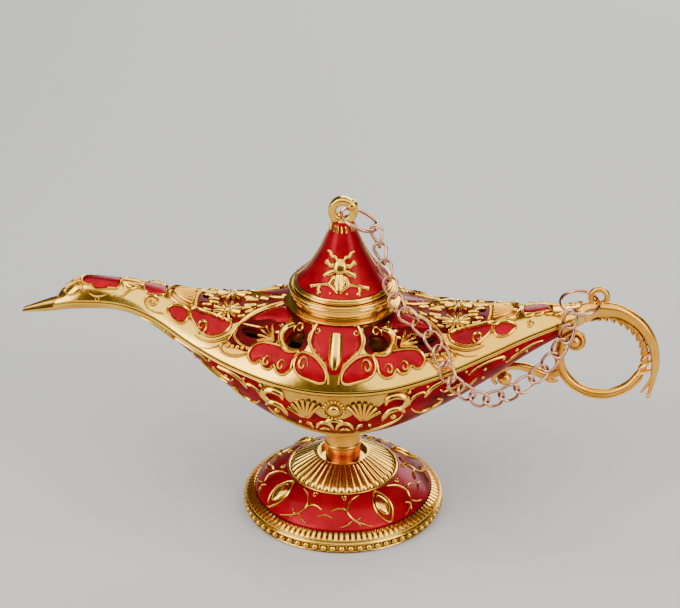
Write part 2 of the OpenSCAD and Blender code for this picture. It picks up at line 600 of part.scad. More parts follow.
foot_casting();
foot_tooth_ring();
foot_enamel();
fluted_cone();
stem();
base_washer();
base_screw();
lower_bowl();
upper_shell();
lid_collar();
lid_skirt();
lid_ring();
lid_cone();
lid_eye();
handle_top_bar();
handle_leaves();
handle_loop();
handle_curl();
handle_volute();
handle_eye();
handle_jump_ring();
lid_jump_ring();
for (i = [1:n_links]) chain_link(i);
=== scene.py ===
import math

import bpy
import numpy as np
from mathutils import Matrix, Vector
from mathutils.geometry import delaunay_2d_cdt


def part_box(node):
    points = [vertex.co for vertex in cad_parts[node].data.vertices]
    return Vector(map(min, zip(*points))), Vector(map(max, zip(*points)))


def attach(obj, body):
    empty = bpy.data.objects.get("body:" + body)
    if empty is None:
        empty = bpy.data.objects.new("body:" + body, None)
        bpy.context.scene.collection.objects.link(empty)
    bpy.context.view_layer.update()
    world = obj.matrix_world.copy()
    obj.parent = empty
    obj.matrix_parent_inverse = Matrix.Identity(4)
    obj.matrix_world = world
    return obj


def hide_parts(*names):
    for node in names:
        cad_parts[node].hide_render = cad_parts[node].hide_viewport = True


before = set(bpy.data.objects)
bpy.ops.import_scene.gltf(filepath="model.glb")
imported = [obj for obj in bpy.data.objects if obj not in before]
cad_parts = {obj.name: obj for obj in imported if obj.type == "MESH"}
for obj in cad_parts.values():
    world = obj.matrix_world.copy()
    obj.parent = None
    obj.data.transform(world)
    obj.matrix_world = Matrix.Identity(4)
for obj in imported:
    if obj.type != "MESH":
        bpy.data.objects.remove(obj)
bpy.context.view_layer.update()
MM = 0.001                              # one millimetre in the scene's metres
FULL_TURN = 2 * math.pi


# ------------------------------------------------------------------------------------------
# The setting: a pale table top, a large soft light over the front of it, two tall side lights
# and a low light from behind, and a camera that looks down on the lamp's front from a little
# towards the handle.
# ------------------------------------------------------------------------------------------
class Finish:
    """A material on the Principled shader, with its textures on Object coordinates."""

    def __init__(self, name, start=None):
        self.material = start.copy() if start else bpy.data.materials.new(name)
        self.material.name = name
        self.material.use_nodes = True
        self.tree = self.material.node_tree
        self.shader = self.tree.nodes["Principled BSDF"]
        self.place = self.add("TexCoord", {}).outputs["Object"]

    def fill(self, node, levels):
        """Sets a node's inputs: an output of another node is linked, a number or colour is set."""
        for socket, level in levels.items():
            if isinstance(level, bpy.types.NodeSocket):
                self.tree.links.new(level, node.inputs[socket])
            else:
                node.inputs[socket].default_value = level
        return node

    def add(self, kind, levels, **settings):
        """Adds a node with its settings and its inputs."""
        node = self.tree.nodes.new("ShaderNode" + kind)
        for name, value in settings.items():
            setattr(node, name, value)
        return self.fill(node, levels)

    def noise(self, scale, detail=2):
        levels = {"Vector": self.place, "Scale": scale, "Detail": detail}
        return self.add("TexNoise", levels).outputs["Fac"]

    def tones(self, source, low, low_colour, high, high_colour):
        """A colour that runs between two tones as its source runs from low to high."""
        ramp = self.add("ValToRGB", {"Fac": source})
        for stop, at, colour in zip(ramp.color_ramp.elements, (low, high), (low_colour, high_colour)):
            stop.position = at
            stop.color = (*colour, 1)
        return ramp.outputs["Color"]

    def spread(self, source, low, high, source_low=0.0, source_high=1.0):
        """The source's range laid over the range from low to high."""
        return self.add("MapRange", {"Value": source, "To Min": low, "To Max": high, "From Min": source_low,
                                     "From Max": source_high}).outputs["Result"]

    def mix(self, share, first, second):
        """A mix of two colours."""
        return self.add("Mix", {"Factor": share, 6: first, 7: second}, data_type="RGBA").outputs[2]

    def bump(self, source, strength, depth):
        return self.add("Bump", {"Height": source, "Strength": strength, "Distance": depth}).outputs["Normal"]


bpy.ops.object.select_all(action="DESELECT")
bpy.ops.mesh.primitive_plane_add(size=6, location=(0, 0, 0))
table_top = bpy.context.object
table_top.name = "table_top"
table_paint = Finish("table_paint")
table_paint.fill(table_paint.shader, {"Base Color": (0.56, 0.555, 0.545, 1), "Roughness": 0.7})
table_top.data.materials.append(table_paint.material)

world = bpy.data.worlds.new("studio")
bpy.context.scene.world = world
world.use_nodes = True
world.node_tree.nodes["Background"].inputs["Color"].default_value = (0.58, 0.56, 0.54, 1)
world.node_tree.nodes["Background"].inputs["Strength"].default_value = 0.14


def soft_light(name, place, width, height, power, colour=(1, 1, 1), aim=(0, 0, 0.03)):
    """A rectangular light at a place in metres, turned towards a point."""
    bpy.ops.object.light_add(type="AREA", location=place)
    light = bpy.context.object
    light.name = name
    light.data.shape = "RECTANGLE"
    light.data.size = width
    light.data.size_y = height
    light.data.energy = power
    light.data.color = colour
    light.rotation_euler = (Vector(aim) - Vector(place)).to_track_quat("-Z", "Y").to_euler()


soft_light("top_light", (-0.03, -0.15, 0.66), 1.30, 1.00, 8.6)
soft_light("left_light", (-0.52, -0.40, 0.34), 0.42, 0.62, 3.6)
soft_light("right_light", (0.54, -0.34, 0.32), 0.34, 0.56, 2.8, (1, 0.97, 0.92))
soft_light("back_light", (0.15, 0.55, 0.25), 0.60, 0.26, 2.4, aim=(0, 0, 0.04))

view_turn = math.radians(6)             # how far the camera stands towards the handle
view_drop = math.radians(28.52)         # how far it looks down
view_away = 0.450
view_height = 0.28874
camera_data = bpy.data.cameras.new("camera")
camera = bpy.data.objects.new("camera", camera_data)
bpy.context.collection.objects.link(camera)
camera.location = (view_away * math.sin(view_turn), -view_away * math.cos(view_turn), view_height)
camera.rotation_euler = (math.pi / 2 - view_drop, 0, view_turn)
camera_data.sensor_width = 36
camera_data.lens = 141.85
camera_data.shift_x = -0.0045
bpy.context.scene.camera = camera


# ------------------------------------------------------------------------------------------
# The foot: a round zinc casting, turned smooth and plated gold. Its edge has a polished
# upper band and a row of scallops round the outside, and it is hollow underneath.
# ------------------------------------------------------------------------------------------
def gold_plate(name, light, deep, roughness, recess_shade=0.75, shade_reach=1.1 * MM):
    """Bright plating over a casting: it drifts between two tones and wears a little uneven, and
    its recesses get painted shade, a dark brown mixed in where ambient occlusion finds them."""
    plate = Finish(name)
    # painted shade: the colour is mixed towards dark brown where ambient occlusion finds a recess
    recess = plate.add("AmbientOcclusion", {"Distance": shade_reach}, samples=8).outputs["AO"]
    tones = plate.tones(plate.noise(160, 3), 0.35, deep, 0.65, light)
    wear = plate.noise(900, 5)
    plate.fill(plate.shader, {
        "Metallic": 1.0,
        "Base Color": plate.mix(plate.spread(recess, recess_shade, 0, 0.35, 0.85), tones, (0.13, 0.045, 0.006, 1)),
        "Roughness": plate.spread(wear, roughness * 0.6, roughness * 1.5),
        "Normal": plate.bump(wear, 0.12, 0.03 * MM)})
    return plate.material


# All the gold plates carry painted shade, a dark brown, in their recesses
pale_gold = gold_plate("pale_gold", (1.0, 0.62, 0.09), (0.94, 0.49, 0.05), 0.16)
bright_gold = gold_plate("bright_gold", (1.0, 0.66, 0.12), (0.96, 0.53, 0.07), 0.18, 0.5, 0.5 * MM)
amber_gold = gold_plate("amber_gold", (0.98, 0.50, 0.07), (0.80, 0.34, 0.03), 0.28)


def pick(*objects):
    """Selects objects and nothing else, the last one active."""
    bpy.ops.object.select_all(action="DESELECT")
    for obj in objects:
        obj.select_set(True)
        bpy.context.view_layer.objects.active = obj


def join_into(whole, part):
    """Makes a part one mesh with the whole."""
    pick(part, whole)
    bpy.ops.object.join()


def repaint(obj, material):
    obj.data.materials.clear()
    obj.data.materials.append(material)


def settle(obj, name, material, body, slot, *nodes, smooth=40):
    """Names a finished piece, gives it its material, smooths it, hangs it on its body and hides its CAD
    nodes.
    """
    obj.name = name
    obj.data.name = name
    repaint(obj, material)
    pick(obj)
    bpy.ops.object.shade_smooth_by_angle(angle=math.radians(smooth))
    obj.select_set(False)
    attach(obj, body)
    if nodes:
        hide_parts(*nodes)


def turned(outline, steps=192, edge=0.0):
    """A piece turned from a closed outline of (radius, height) in millimetres, with its
    sharp edges broken by a small bevel."""
    bpy.ops.object.select_all(action="DESELECT")
    bpy.ops.mesh.primitive_circle_add(vertices=len(outline), radius=MM)
    obj = bpy.context.object
    for vertex, (radius, height) in zip(obj.data.vertices, outline):
        vertex.co = (radius * MM, 0, height * MM)
    bpy.ops.object.mode_set(mode="EDIT")
    bpy.ops.mesh.select_all(action="SELECT")
    bpy.ops.mesh.spin(steps=steps, angle=FULL_TURN, center=(0, 0, 0), axis=(0, 0, 1))
    bpy.ops.mesh.select_all(action="SELECT")
    bpy.ops.mesh.remove_doubles(threshold=0.002 * MM)
    bpy.ops.mesh.normals_make_consistent(inside=False)
    bpy.ops.object.mode_set(mode="OBJECT")
    if edge:
        bevel = obj.modifiers.new("edge", "BEVEL")
        bevel.width = edge * MM
        bevel.segments = 2
        bevel.angle_limit = math.radians(30)
        bpy.ops.object.modifier_apply(modifier="edge")
    return obj


def mesh_piece(points, faces):
    """A mesh object from points in millimetres, with its faces pointing outwards."""
    mesh = bpy.data.meshes.new("piece")
    mesh.from_pydata([tuple(c * MM for c in p) for p in points], [], faces)
    mesh.validate()
    obj = bpy.data.objects.new("piece", mesh)
    bpy.context.collection.objects.link(obj)
    pick(obj)
    bpy.ops.object.mode_set(mode="EDIT")
    bpy.ops.mesh.select_all(action="SELECT")
    bpy.ops.mesh.normals_make_consistent(inside=False)
    bpy.ops.object.mode_set(mode="OBJECT")
    return obj


foot_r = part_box("foot_casting")[1][0] / MM
foot_edge_h, foot_wall = 2.3, 1.2
tooth_out_r = foot_r - 1.2
tooth_in_r = tooth_out_r - 1.3
dome_r, dome_h = tooth_in_r - 0.1, 8.1
flute_r, stem_r, enamel_t = 10.7, 3.4, 0.5
hub_z = dome_h - 0.4


def dome_z(radius):
    """Height of the enamelled dome at a radius."""
    share = (radius - flute_r) / (dome_r - flute_r)
    return dome_h - (dome_h - foot_edge_h - 1.6) * (0.45 * share + 0.55 * share * share)


dome_radii = [flute_r + 0.2 + (dome_r - flute_r - 0.2) * k / 12 for k in range(13)]
# The foot's rim: how far in from its radius and how far under its edge, then in and up
upper_band = [(0.5, 0), (0.36, 0.04), (0.2, 0.28), (0.36, 0.52), (0.9, 0.62)]
lower_edge = [(0.95, 0.55), (0.55, 0.42), (0.42, 0.2), (0.6, 0), (1.9, 0), (2.1, 0.6)]
foot = turned(
    [(stem_r + 0.05, hub_z - foot_wall), (stem_r + 0.05, hub_z), (flute_r - 0.5, hub_z)]
    + [(flute_r + r, dome_h + z) for r, z in ((-0.35, 0.05), (-0.1, 0.2), (0.15, 0.05))]
    + [(r, dome_z(r) - enamel_t) for r in dome_radii] + [(dome_r, foot_edge_h + 0.3)]
    + [(tooth_out_r + r, foot_edge_h + z) for r, z in ((0.46, 0.3), (0.52, -0.05), (0.62, -0.12))]
    + [(foot_r - r, foot_edge_h - z) for r, z in upper_band] + [(foot_r - r, z) for r, z in lower_edge]
    + [(r - 0.6, dome_z(r) - enamel_t - foot_wall) for r in reversed(dome_radii)]
    + [(flute_r - 1.2, hub_z - foot_wall)], steps=240, edge=0.05)
settle(foot, "foot_base", pale_gold, "lamp", "plated_gold", "foot_casting")


def ringed(count, part_points, part_faces, radius):
    """Copies of a small part in a ring: the part is given with X outwards from the ring."""
    points, faces = [], []
    for k in range(count):
        turn = FULL_TURN * k / count
        c, s = math.cos(turn), math.sin(turn)
        faces += [[len(points) + i for i in face] for face in part_faces]
        points += [((radius + x) * c - y * s, (radius + x) * s + y * c, z) for x, y, z in part_points]
    return points, faces


def dome_faces(rings, sides, start=0):
    """Faces of a closed dome: a top point and then its rings of points, each wider."""
    around = [(s, (s + 1) % sides) for s in range(sides)]
    faces = [[start, start + 1 + s, start + 1 + t] for s, t in around]
    for a in range(start + 1, start + 1 + (rings - 1) * sides, sides):
        b = a + sides
        faces += [[a + s, b + s, b + t, a + t] for s, t in around]
    return faces + [[start + 1 + (rings - 1) * sides + s for s in reversed(range(sides))]]


# One scallop is a half-round bump that stands out along X
scallop_count = 68
scallop_long, scallop_wide, scallop_tall = 1.42, 1.46, 0.84
scallop_rings, scallop_sides, scallop_z = 4, 12, 1.02
scallop_points = [(scallop_tall, 0, scallop_z)]
for r in range(1, scallop_rings + 1):
    lift = math.cos(math.pi / 2 * r / scallop_rings)
    spread = math.sin(math.pi / 2 * r / scallop_rings)
    for s in range(scallop_sides):
        a = FULL_TURN * s / scallop_sides
        scallop_points.append((scallop_tall * lift - 0.12 * (r == scallop_rings),
                               scallop_wide / 2 * spread * math.cos(a),
                               scallop_long / 2 * spread * math.sin(a) + scallop_z))
scallop_faces = dome_faces(scallop_rings, scallop_sides)
scallops = mesh_piece(*ringed(scallop_count, scallop_points, scallop_faces, foot_r - 0.9))
settle(scallops, "foot_scallops", pale_gold, "lamp", "plated_gold")


# ------------------------------------------------------------------------------------------
# The ring of teeth: a separate ring of small blocks like the milling of a coin, pressed
# round the edge of the enamel. The blocks slope down and outwards.
# ------------------------------------------------------------------------------------------
tooth_count, tooth_wide = 106, 0.68
tooth_z = foot_edge_h + 0.35
tooth_side = [(-1.25, 0.0), (0.42, 0.0), (0.44, 0.12), (0.34, 0.26), (-0.2, 0.6), (-0.9, 1.02), (-1.1, 1.08),
              (-1.25, 1.0)]


def tube_faces(rows, size, start=0, closed=False, caps=True):
    """Faces of a tube through rings of points, with a cap on each end unless it closes on itself."""
    faces = []
    for k in range(rows if closed else rows - 1):
        a, b = start + k * size, start + (k + 1) % rows * size
        faces += [[a + j, a + (j + 1) % size, b + (j + 1) % size, b + j] for j in range(size)]
    if caps and not closed:
        faces.append([start + j for j in range(size)])
        faces.append([start + (rows - 1) * size + j for j in reversed(range(size))])
    return faces


tooth_points = [(x, side * tooth_wide / 2 * (0.78 if z > 0.2 else 1), z + tooth_z)
                for side in (-1, 1) for x, z in tooth_side]
tooth_blocks = mesh_piece(*ringed(tooth_count, tooth_points, tube_faces(2, len(tooth_side)), tooth_out_r))
tooth_band = turned([(tooth_in_r, tooth_z), (tooth_out_r + 0.25, tooth_z),
                     (tooth_out_r + 0.2, tooth_z + 0.04), (tooth_in_r + 0.2, tooth_z + 0.3),
                     (tooth_in_r, tooth_z + 0.75), (tooth_in_r - 0.02, tooth_z)])
join_into(tooth_band, tooth_blocks)
settle(tooth_band, "foot_teeth", bright_gold, "lamp", "plated_gold", "foot_tooth_ring", smooth=30)


# ------------------------------------------------------------------------------------------
# The foot's enamel: glassy crimson enamel fired on the dome, with four pointed gold bosses in
# it, each in a ring of thin gold tendrils that stand just proud of the enamel.
# ------------------------------------------------------------------------------------------
# Clear glossy enamel over metal is deeper in colour where it is seen edge on, and its colour
# drifts as it does where the glass pooled
glass = Finish("crimson_enamel")
edge_on = glass.add("LayerWeight", {"Blend": 0.45}).outputs["Facing"]
pooled = glass.add("Math", {0: edge_on, 1: 0.55, 2: glass.noise(210, 4)}, operation="MULTIPLY_ADD")
reds = glass.tones(pooled.outputs["Value"], 0.40, (0.40, 0.0003, 0.009), 0.95, (0.11, 0.0002, 0.003))
glass.fill(glass.shader, {
    "Base Color": reds, "Roughness": 0.30, "Metallic": 0.15,
    "Specular IOR Level": 0.25, "Specular Tint": (0.75, 0.10, 0.12, 1),
    "Coat Weight": 0.17, "Coat Roughness": 0.06, "Coat IOR": 1.35,
    "Coat Normal": glass.bump(glass.noise(420), 0.25, 0.05 * MM)})
crimson = glass.material


def spline(a, b, c, d, u):
    """A place from b (u is 0) to c (u is 1) on a smooth curve through four places."""
    return 0.5 * (2 * b + (c - a) * u + (2 * a - 5 * b + 4 * c - d) * u * u
                  + (3 * b - a - 3 * c + d) * u ** 3)


def smooth_path(points, closed=False, step=0.35):
    """Points of a smooth curve through the given ones, about a step apart."""
    count = len(points)
    path = []
    for k in range(count if closed else count - 1):
        near = [n % count if closed else min(max(n, 0), count - 1) for n in range(k - 1, k + 3)]
        a, b, c, d = (Vector(points[n]) for n in near)
        pieces = max(2, round((c - b).length / step))
        path += [spline(a, b, c, d, n / pieces) for n in range(pieces)]
    return path if closed else path + [Vector(points[-1])]


def neighbours(path, k, closed=False):
    """The points before and after one point of a path."""
    if closed:
        return path[k - 1], path[(k + 1) % len(path)]
    return path[max(k - 1, 0)], path[min(k + 1, len(path) - 1)]


def curl(middle, radius, turns, start, squash=1.0):
    """A spiral that winds in to its middle, as a list of points. start is in degrees."""
    wound_in = 0.78                     # share of the radius that is lost on the way
    count = max(6, round(abs(turns) * 9))
    path = []
    for k in range(count + 1):
        share = k / count
        a = math.radians(start) + FULL_TURN * turns * share
        r = radius * (1 - wound_in * share)
        path.append((middle[0] + r * math.cos(a), middle[1] + r * math.sin(a) * squash))
    return path


class Relief:
    """Ornament that stands out of a surface. The surface is a function of two values that
    gives a point in millimetres; facing is -1 where those two turn inwards."""

    bar_points = 7                      # points round the half-round bar of a stroke
    bar_from, bar_turn = -25, 230       # degrees that the bar covers, from below the surface

    def __init__(self, surface, facing=1):
        self.surface = surface
        self.facing = facing
        self.points = []
        self.faces = []
        self.mirror(1, 1)

    def mirror(self, flip_u, flip_v, from_u=0, from_v=0):
        """From now on places are counted from the given one, the other way where a flip is -1."""
        self.flip = (flip_u, flip_v)
        self.origin = (from_u, from_v)

    def placed(self, spot):
        return tuple(start + flip * value for start, flip, value in zip(self.origin, self.flip, spot))

    def at(self, u, v):
        """A point of the surface and the outward direction there."""
        here = self.surface(u, v)
        du = self.surface(u + 0.05, v) - here
        dv = self.surface(u, v + 0.05) - here
        return here, du.cross(dv).normalized() * self.facing

    def stroke(self, path, width, height, ends=(0.3, 0.3), closed=False, lift=0.0, step=0.35):
        """A half-round bar along a path, thinner at its ends by the two given shares."""
        path = smooth_path([self.placed(p) for p in path], closed, step)
        spots = [self.at(p[0], p[1]) for p in path]
        feet = [here for here, out in spots]
        start = len(self.points)
        for k, (here, out) in enumerate(spots):
            before, after = neighbours(feet, k, closed)
            side = (after - before).cross(out).normalized()
            share = k / (len(path) - 1)
            size = 1.0
            if not closed:
                size -= (1 - ends[0]) * max(0.0, 1 - share / 0.4) ** 2
                size -= (1 - ends[1]) * max(0.0, (share - 0.6) / 0.4) ** 2
            for j in range(self.bar_points):
                a = math.radians(self.bar_from + self.bar_turn * j / (self.bar_points - 1))
                self.points.append(here + side * (width / 2 * size * math.cos(a))
                                   + out * (height * (0.35 + 0.65 * size) * math.sin(a) + lift))
        self.faces += tube_faces(len(path), self.bar_points, start, closed)

    def strokes(self, *rows):
        """Strokes, each a row of a path, a width, a height and, if not the usual ones, its ends."""
        for row in rows:
            self.stroke(*row)

    def leaf(self, root, tip, bow, width, height, ends, lift=0.0):
        """A short stroke from a root to a tip, bowed in its middle by the given shift."""
        middle = ((root[0] + tip[0]) / 2 + bow[0], (root[1] + tip[1]) / 2 + bow[1])
        self.stroke([root, middle, tip], width, height, ends, lift=lift)

    def boss(self, u, v, length, width, height, along=(1, 0), pointed=0.0, sides=16, rings=4):
        """A domed boss on the surface. along is its long direction, pointed makes it almond-shaped."""
        u, v = self.placed((u, v))
        here, out = self.at(u, v)
        ahead = self.surface(u + along[0] * 0.05, v + along[1] * 0.05) - here
        ahead = (ahead - out * ahead.dot(out)).normalized()
        side = out.cross(ahead)
        self.faces += dome_faces(rings, sides, len(self.points))
        self.points.append(here + out * height)
        for r in range(1, rings + 1):
            lift = math.cos(math.pi / 2 * r / rings) ** 0.8 * height - (0.25 if r == rings else 0)
            spread = math.sin(math.pi / 2 * r / rings)
            for s in range(sides):
                a = FULL_TURN * s / sides
                narrow = 1 - pointed * abs(math.cos(a)) ** 3
                self.points.append(here + ahead * (length / 2 * spread * math.cos(a))
                                   + side * (width / 2 * spread * math.sin(a) * narrow) + out * lift)

    def ball(self, u, v, size, height, sides=12):
        """A small round boss."""
        self.boss(u, v, size, size, height, sides=sides, rings=3)

    def panel(self, outline, swell, base=0.04, edge=0.8, step=0.5):
        """A thin panel that fills an outline and swells towards its middle, like enamel in a cell."""
        border = smooth_path([self.placed(p) for p in outline], closed=True, step=step)
        rim = np.array([(p[0], p[1]) for p in border])
        after = np.roll(rim, -1, 0)
        low, high = rim.min(0), rim.max(0)
        flat = [Vector((p[0], p[1])) for p in rim]
        for x in np.arange(low[0] + step / 2, high[0], step):
            for y in np.arange(low[1] + step / 2, high[1], step):
                spans = (rim[:, 1] > y) != (after[:, 1] > y)
                slope = (after[:, 0] - rim[:, 0]) / (after[:, 1] - rim[:, 1] + 1e-12)
                inside = np.count_nonzero(spans & (x < rim[:, 0] + (y - rim[:, 1]) * slope)) % 2
                if inside and np.hypot(*(rim - (x, y)).T).min() > step * 0.4:
                    flat.append(Vector((x, y)))
        cells = delaunay_2d_cdt(flat, [], [list(range(len(rim)))], 1, 1e-6)
        self.faces += [[len(self.points) + i for i in face] for face in cells[2]]
        for spot in cells[0]:
            here, out = self.at(spot[0], spot[1])
            gap = float(np.hypot(*(rim - (spot[0], spot[1])).T).min())
            rise = base + swell * (1 - (1 - min(gap / edge, 1)) ** 2) if gap > 1e-4 else -0.15
            self.points.append(here + out * rise)

    def build(self):
        return mesh_piece(self.points, self.faces)


def dome_surface(radius, turn):
    """The dome, by radius and by angle in degrees."""
    a = math.radians(turn)
    return Vector((radius * math.cos(a), radius * math.sin(a), dome_z(radius)))


glaze_side = [(max(r, dome_radii[0] + 0.02), dome_z(r)) for r in dome_radii]
glaze = turned([(r, z - enamel_t) for r, z in glaze_side] + glaze_side[::-1], edge=0.08)
settle(glaze, "foot_glaze", crimson, "lamp", "red_enamel", "foot_enamel")

boss_count, boss_first = 4, -142
almond = [(11.5, 0), (12.8, 5.2), (14.3, 7.1), (15.8, 5.4), (17.1, 0), (15.8, -5.4), (14.3, -7.1),
          (12.8, -5.2)]
foot_bosses = Relief(dome_surface)
foot_vines = Relief(dome_surface)
for k in range(boss_count):
    turn = boss_first + 360 // boss_count * k
    foot_bosses.mirror(1, 1, 0, turn)
    foot_bosses.boss(14.35, 0, 4.6, 2.9, 0.75, pointed=0.36, sides=24, rings=6)
    foot_bosses.stroke(almond, 0.46, 0.45, closed=True)
    for hand in (-1, 1):
        foot_vines.mirror(1, hand, 0, turn)
        foot_vines.strokes(
            ([(11.4, 16), (12.4, 25), (14.3, 28.5), (16.0, 23.5), (17.1, 12.5)], 0.4, 0.34, (0.4, 0.6)),
            ([(15.5, 19), (16.0, 22), (16.9, 20)], 0.36, 0.32),
            ([(14.4, 28), (13.9, 32), (13.9, 37), (14.4, 41.5)], 0.46, 0.36, (0.35, 0.8)),
            ([(15.8, 25), (16.5, 29), (16.9, 34)], 0.36, 0.32),
            (curl((11.9, 31), 0.55, 1.1, 100, 5), 0.32, 0.3))
    foot_vines.mirror(1, 1, 0, turn)
    foot_vines.stroke([(15.6, 39), (15.1, 45), (15.6, 51)], 0.36, 0.3)
settle(foot_bosses.build(), "foot_bosses", pale_gold, "lamp", "plated_gold")
settle(foot_vines.build(), "foot_tendrils", pale_gold, "lamp", "plated_gold")


# ------------------------------------------------------------------------------------------
# The fluted cone: a pressed gold cone over the foot's hub, with forty rounded ribs, and a plain
# lip above them.
# ------------------------------------------------------------------------------------------
flute_count, rib_steps = 40, 8
flute_z, flute_h = hub_z + 0.05, 3.6
# Rows of radius, height and depth of the grooves between the ribs
rib_rows = [(flute_r - 0.75, 0.02, 0.0), (flute_r - 0.42, 0.16, 0.1), (flute_r - 0.42, 0.5, 0.42),
            (9.6, 1.05, 0.46), (7.6, 2.25, 0.38), (6.0, 3.2, 0.3), (5.35, 3.5, 0.16), (5.1, flute_h, 0.0),
            (4.75, flute_h - 0.05, 0.0), (4.7, 2.6, 0.0), (stem_r + 0.05, 2.6, 0.0),
            (stem_r + 0.05, 0.02, 0.0)]
rib_count = flute_count * rib_steps
cone_points = []
for radius, height, groove in rib_rows:
    for k in range(rib_count):
        a = FULL_TURN * k / rib_count
        dip = groove * (1 - abs(math.sin(math.pi * k / rib_steps)) ** 0.5)
        cone_points.append(((radius - dip) * math.cos(a), (radius - dip) * math.sin(a),
                            flute_z + height - dip * 0.5))
fluted_cone = mesh_piece(cone_points, tube_faces(len(rib_rows), rib_count, closed=True))
settle(fluted_cone, "fluted_hub", bright_gold, "lamp", "plated_gold", "fluted_cone", smooth=60)


# ------------------------------------------------------------------------------------------
# The stem: a turned neck of deeper gold between the foot and the bowl, with a fine bead
# round it. A plain steel screw and washer underneath hold foot, cone and stem to the bowl.
# ------------------------------------------------------------------------------------------
bowl_bottom_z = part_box("stem")[1][2] / MM
bead_z = flute_z + flute_h + 2.0
stem_bead = [(0, 0), (0.22, 0.15), (0.33, 0.42), (0.22, 0.7), (0, 0.85)]
stem = turned([(0, hub_z - foot_wall), (stem_r, hub_z - foot_wall)]
              + [(stem_r + r, bead_z + z) for r, z in stem_bead]
              + [(stem_r + r, bowl_bottom_z + z) for r, z in ((-0.1, -1.2), (0.05, -0.45), (0.3, 0))]
              + [(0, bowl_bottom_z)], steps=96, edge=0.05)
settle(stem, "stem_neck", amber_gold, "lamp", "plated_gold", "stem")

steel = Finish("plain_steel")
steel.fill(steel.shader, {"Metallic": 1.0, "Base Color": (0.46, 0.46, 0.47, 1),
                          "Roughness": steel.spread(steel.noise(1500), 0.25, 0.45)})
for node in ("base_screw", "base_washer"):
    repaint(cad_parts[node], steel.material)


# ------------------------------------------------------------------------------------------
# The lower bowl: a cast half shell, boat-shaped, that runs out into the open channel of the
# spout. It is enamelled red over the belly and left gold along its upper edge and the spout.
# ------------------------------------------------------------------------------------------
spout_reach, tail_reach, half_w = 62.5, 46.0, 18.0
rim_z, rim_rise, crown_h, bowl_depth = 34.2, 8.7, 14.15, 15.6
lip_h, wall = 1.0, 0.9
# The body's sections from spout to handle: place along it, half width, rim rise, crown height
# and keel depth, each as a share of the sizes above
body_rows = [
    (-1.000, 0.05, 0.62, 0.05, 0.03), (-0.912, 0.13, 0.82, 0.16, 0.09), (-0.816, 0.17, 0.98, 0.30, 0.11),
    (-0.688, 0.20, 1.00, 0.28, 0.10), (-0.576, 0.30, 0.83, 0.30, 0.15), (-0.448, 0.51, 0.46, 0.40, 0.28),
    (-0.320, 0.72, 0.21, 0.51, 0.59), (-0.160, 0.93, 0.05, 0.71, 0.87), (0.000, 1.00, 0.00, 1.00, 1.00),
    (0.217, 0.94, 0.08, 0.69, 0.90), (0.435, 0.74, 0.30, 0.45, 0.70), (0.609, 0.53, 0.57, 0.33, 0.53),
    (0.761, 0.34, 0.83, 0.25, 0.35), (0.891, 0.22, 1.05, 0.20, 0.22), (1.000, 0.12, 1.22, 0.20, 0.12)]
body_spans = len(body_rows) - 1


def body_section(t):
    """A smooth section between the rows: [x, half width, rim, crown and keel height]."""
    k = min(int(t), body_spans - 1)
    b, c = np.array(body_rows[k]), np.array(body_rows[k + 1])
    a = np.array(body_rows[k - 1]) if k else 2 * b - c
    d = np.array(body_rows[k + 2]) if k + 2 <= body_spans else 2 * c - b
    row = spline(a, b, c, d, t - k)
    rim = rim_z + rim_rise * row[2]
    x = row[0] * (spout_reach if row[0] < 0 else tail_reach)
    # behind the last leaf the crown dips to the top of the handle's bar
    dip = 1 - 0.36 * min(1.0, max(0.0, (x - 38.6) / 3))
    return [x, row[1] * half_w, rim, rim + crown_h * row[3] * dip, rim - bowl_depth * row[4]]


body_table = np.array([body_section(body_spans * k / 1400) for k in range(1401)])


def body_at(x):
    """Half width, rim, crown and keel height at a place along the body."""
    return [float(np.interp(x, body_table[:, 0], body_table[:, j])) for j in (1, 2, 3, 4)]


def skinned(sections):
    """A closed skin through closed sections whose first half is the outside and whose second
    half, running back, is the inside."""
    size = len(sections[0])
    faces = tube_faces(len(sections), size, caps=False)
    for first in (0, (len(sections) - 1) * size):
        last = first + size - 1
        faces += [[first + k, first + k + 1, last - 1 - k, last - k] for k in range(size // 2 - 1)]
    return mesh_piece([p for section in sections for p in section], faces)


bowl_steps, bowl_rate = 48, 9           # points across a section, and sections from row to row
bowl_fullness = 2.25
bowl_share = 0.95                       # the bowl's width as a share of the rim's


def bowl_arc(turn, breadth, depth):
    """Half breadth and depth under the rim on the bowl's full round section."""
    share = math.sin(math.radians(turn))
    return breadth * max(0.0, 1 - share ** bowl_fullness) ** (1 / bowl_fullness), depth * share


def bowl_section(x, rim, breadth, depth):
    """One section of the bowl, from edge to edge under the keel."""
    section = []
    for k in range(bowl_steps + 1):
        turn = 180 * k / bowl_steps
        y, drop = bowl_arc(turn, breadth, depth)
        section.append((x, y if turn < 90 else -y, rim - drop))
    return section


bowl_sections = []
for n in range(body_spans * bowl_rate + 1):
    x, w, rim, crown, keel = body_section(n / bowl_rate)
    w *= bowl_share
    depth = rim - keel
    inner = bowl_section(x, rim, w - min(wall, 0.4 * w), depth - min(wall, 0.5 * depth))
    bowl_sections.append(bowl_section(x, rim, w, depth) + inner[::-1])
bowl = skinned(bowl_sections)
# the boss inside the keel that takes the screw
boss_r, boss_low, boss_high = 3.9, 17.8, 20.0
join_into(bowl, turned([(0, boss_low), (boss_r, boss_low), (boss_r, boss_high - 0.8),
                        (boss_r - 0.5, boss_high), (0, boss_high)], steps=64, edge=0.1))


